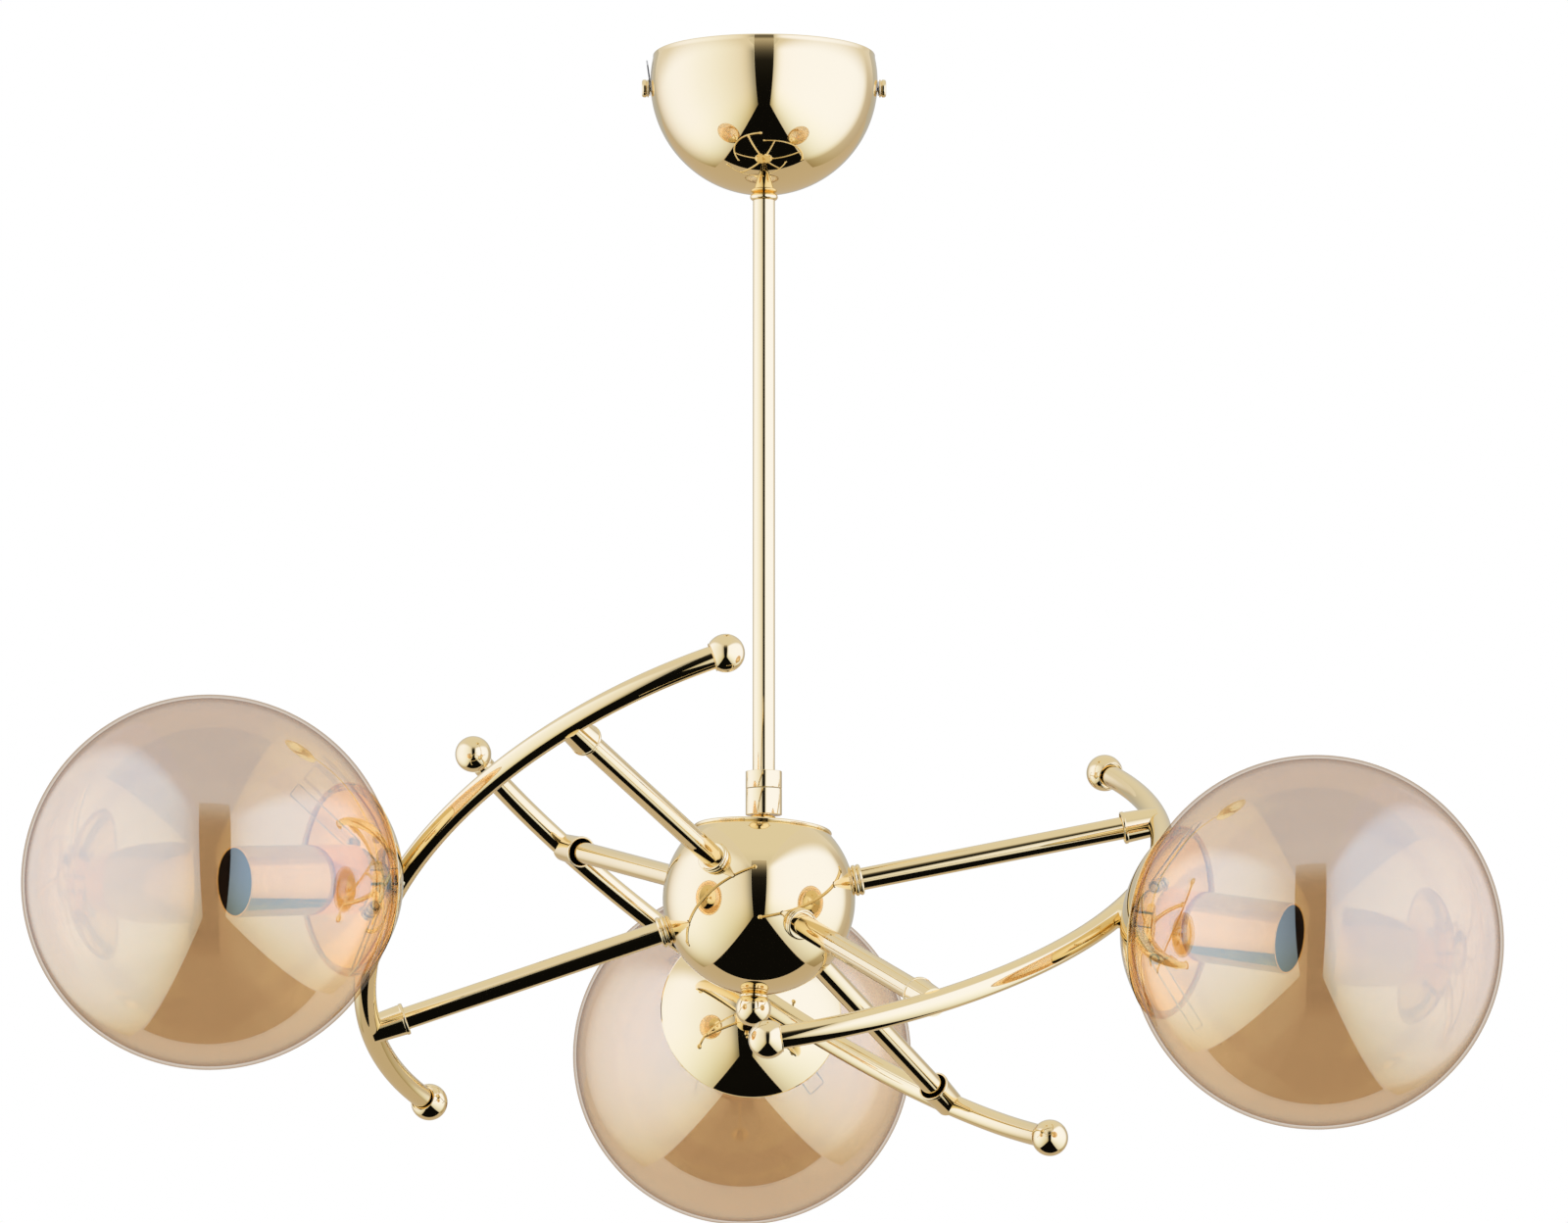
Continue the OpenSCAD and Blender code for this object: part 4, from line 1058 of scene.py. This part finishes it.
def stage_plane(name, corners, mat):
    """A flat four-cornered piece of the studio, with a UV map from 0 to 1 over it."""
    mesh = bpy.data.meshes.new(name)
    mesh.from_pydata(corners, [], [(0, 1, 2, 3)])
    layer = mesh.uv_layers.new(name="panel")
    layer.data.foreach_set("uv", (0, 0, 1, 0, 1, 1, 0, 1))
    mesh.materials.append(mat)
    made = bpy.data.objects.new(name, mesh)
    scene.collection.objects.link(made)
    return made


def glow(name):
    """A material with an Emission shader alone."""
    mat = bpy.data.materials.new(name)
    mat.use_nodes = True
    tree = mat.node_tree
    tree.nodes.remove(tree.nodes["Principled BSDF"])
    light = add(tree, "ShaderNodeEmission")
    tree.links.new(light.outputs["Emission"], tree.nodes["Material Output"].inputs["Surface"])
    return mat, tree, light


def tone_ramp(tree, place, stops, tones):
    """Colours between stops, smoothed."""
    ramp = add(tree, "ShaderNodeValToRGB")
    ramp.color_ramp.interpolation = "B_SPLINE"
    marks = ramp.color_ramp.elements
    while len(marks) < len(stops):
        marks.new(0.5)
    for mark, where, colour in zip(marks, stops, tones):
        mark.position = where
        mark.color = (*colour, 1)
    tree.links.new(place, ramp.inputs["Fac"])
    return ramp.outputs["Color"]


def panel_place(tree):
    """How far along and how far up a panel."""
    uv = add(tree, "ShaderNodeUVMap", uv_map="panel")
    split = add(tree, "ShaderNodeSeparateXYZ")
    tree.links.new(uv.outputs["UV"], split.inputs["Vector"])
    return split.outputs["X"], split.outputs["Y"]


def panel_material(name, stops, on_metal, by_glass):
    """Soft panel: brightest past its middle, falling off to both ends, with a warm foot and a soft top.

    The soft top comes down from the near end to the far end. What is seen by way of the glass gets
    the full light, and the metal inside it a little more. Bare metal gets a cooler, held-back
    highlight, so that its brightest parts keep their colour.
    """
    mat, tree, light = glow(name)
    along, up = panel_place(tree)
    path = add(tree, "ShaderNodeLightPath")
    by_way = span(tree, path.outputs["Transparent Depth"], 0, 1, 0, 1)
    bare, seen_by_glass = [tone_ramp(tree, along, stops, tones) for tones in (on_metal, by_glass)]
    tone = mixed(tree, by_way, bare, seen_by_glass)
    tone = mixed(tree, 1.0, tone, tone_ramp(tree, up, FOOT_STOPS, FOOT_TONES), "MULTIPLY")
    drop = span(tree, along, 0, PANEL_TOP_NEAR[0] - PANEL_TOP_FAR, 0, PANEL_TOP_LEVEL)
    level = add(tree, "ShaderNodeMath")
    tree.links.new(up, level.inputs[0])
    tree.links.new(drop, level.inputs[1])
    top = add(tree, "ShaderNodeMapRange")
    top.interpolation_type = "SMOOTHSTEP"
    tree.links.new(level.outputs[0], top.inputs["Value"])
    top.inputs["From Min"].default_value, top.inputs["From Max"].default_value = PANEL_TOP_NEAR
    above = tuple(c * CEILING_GREY / PANEL_LIGHT for c in CEILING_TINT)
    tree.links.new(mixed(tree, top.outputs["Result"], tone, above), light.inputs["Color"])
    inside = span(tree, path.outputs["Transparent Depth"], PANEL_LIGHT, INSIDE_LIFT * PANEL_LIGHT, 2, 4)
    tree.links.new(inside, light.inputs["Strength"])
    return mat


def floor_material():
    """Pale floor: white with a soft shadow to the camera, warm grey in reflections, nothing from below."""
    mat, tree, light = glow("pale_floor")
    seen = light_path(tree, "Is Camera Ray", "Is Transmission Ray")
    tree.links.new(mixed(tree, seen, FLOOR_GREY, (1.0, 1.0, 1.0)), light.inputs["Color"])
    shadow = add(tree, "ShaderNodeAmbientOcclusion")
    shadow.inputs["Distance"].default_value = SHADOW_REACH
    tree.links.new(shadow.outputs["AO"], light.inputs["Strength"])
    back = add(tree, "ShaderNodeNewGeometry")
    clear = add(tree, "ShaderNodeBsdfTransparent")
    mix = add(tree, "ShaderNodeMixShader")
    tree.links.new(back.outputs["Backfacing"], mix.inputs["Fac"])
    tree.links.new(light.outputs["Emission"], mix.inputs[1])
    tree.links.new(clear.outputs["BSDF"], mix.inputs[2])
    tree.links.new(mix.outputs["Shader"], tree.nodes["Material Output"].inputs["Surface"])
    return mat


def dark_material():
    """Black cloth that only reflections show."""
    mat, _, light = glow("dark_cloth")
    light.inputs["Strength"].default_value = DARK
    return mat


def hide_from_camera(made):
    """Leaves a piece of the studio to reflections and light alone."""
    made.visible_camera = False
    made.visible_transmission = False
    made.visible_shadow = False


def dark_end_material():
    """Black cloth that fades upwards into the grey of the room."""
    mat, tree, light = glow("dark_end_cloth")
    tone = tone_ramp(tree, panel_place(tree)[1], END_STOPS, END_TONES)
    tree.links.new(tone, light.inputs["Color"])
    light.inputs["Strength"].default_value = 1.0
    return mat


def studio():
    """The floor, the two panels, the dark strip between them and the dark end behind the camera."""
    wide = 40
    low = FLOOR_HEIGHT
    stage_plane("floor", [(-wide, -wide, low), (wide, -wide, low), (wide, wide, low), (-wide, wide, low)],
                floor_material())
    dark = dark_material()
    (near_x, near_y), (far_x, far_y) = PANEL_NEAR, PANEL_FAR
    for side, name, tones in (
        (-1, "left", (LEFT_STOPS, LEFT_ON_METAL, LEFT_BY_GLASS)),
        (1, "right", (RIGHT_STOPS, RIGHT_ON_METAL, RIGHT_BY_GLASS)),
    ):
        near, far = (side * near_x, near_y), (side * far_x, far_y)
        near_top = (side * (near_x + PANEL_LEAN), near_y, PANEL_TOP)
        corners = [(*near, low), (*far, low), (*far, PANEL_TOP), near_top]
        soft = panel_material(f"soft_panel_{name}", *tones)
        hide_from_camera(stage_plane(f"panel_{name}", corners, soft))
    lift = low + 0.01
    end_x, end_y = STRIP_FAR
    strip = [(-near_x, near_y, lift), (near_x, near_y, lift), (end_x, end_y, lift), (-end_x, end_y, lift)]
    hide_from_camera(stage_plane("dark_floor_strip", strip, dark))
    top, top_x = END_TOP, near_x + PANEL_LEAN
    end = [(-near_x, near_y, low), (near_x, near_y, low), (top_x, near_y, top), (-top_x, near_y, top)]
    hide_from_camera(stage_plane("dark_end", end, dark_end_material()))


def room():
    """World: white where it is seen directly or through glass, grey in reflections."""
    world = bpy.data.worlds.new("room")
    world.use_nodes = True
    tree = world.node_tree
    light = tree.nodes["Background"]
    light.inputs["Color"].default_value = (1, 1, 1, 1)
    where = add(tree, "ShaderNodeTexCoord")
    split = add(tree, "ShaderNodeSeparateXYZ")
    tree.links.new(where.outputs["Generated"], split.inputs["Vector"])
    grey = span(tree, split.outputs["Z"], BACK_GREY, CEILING_GREY, 0.1, 0.8)
    seen = add(tree, "ShaderNodeMapRange")
    tree.links.new(light_path(tree, "Is Camera Ray", "Is Transmission Ray"), seen.inputs["Value"])
    tree.links.new(grey, seen.inputs["To Min"])
    tree.links.new(seen.outputs["Result"], light.inputs["Strength"])
    scene.world = world


# Camera: level with the room, looking slightly up at the light

CAMERA_PLACE = (-0.0003, -4.7497, -0.9398)
CAMERA_RISE = math.radians(7.493)
CAMERA_YAW = math.radians(0.139)
LENS = 197.5
SENSOR = 36.0


def camera():
    """A long lens on the -Y side."""
    data = bpy.data.cameras.new("camera")
    data.lens = LENS
    data.sensor_width = SENSOR
    data.sensor_fit = "HORIZONTAL"
    data.clip_end = 100
    made = bpy.data.objects.new("camera", data)
    made.location = CAMERA_PLACE
    made.rotation_euler = (math.pi / 2 + CAMERA_RISE, 0, -CAMERA_YAW)
    scene.collection.objects.link(made)
    scene.camera = made


studio()
room()
camera()
scene.view_settings.view_transform = "Standard"
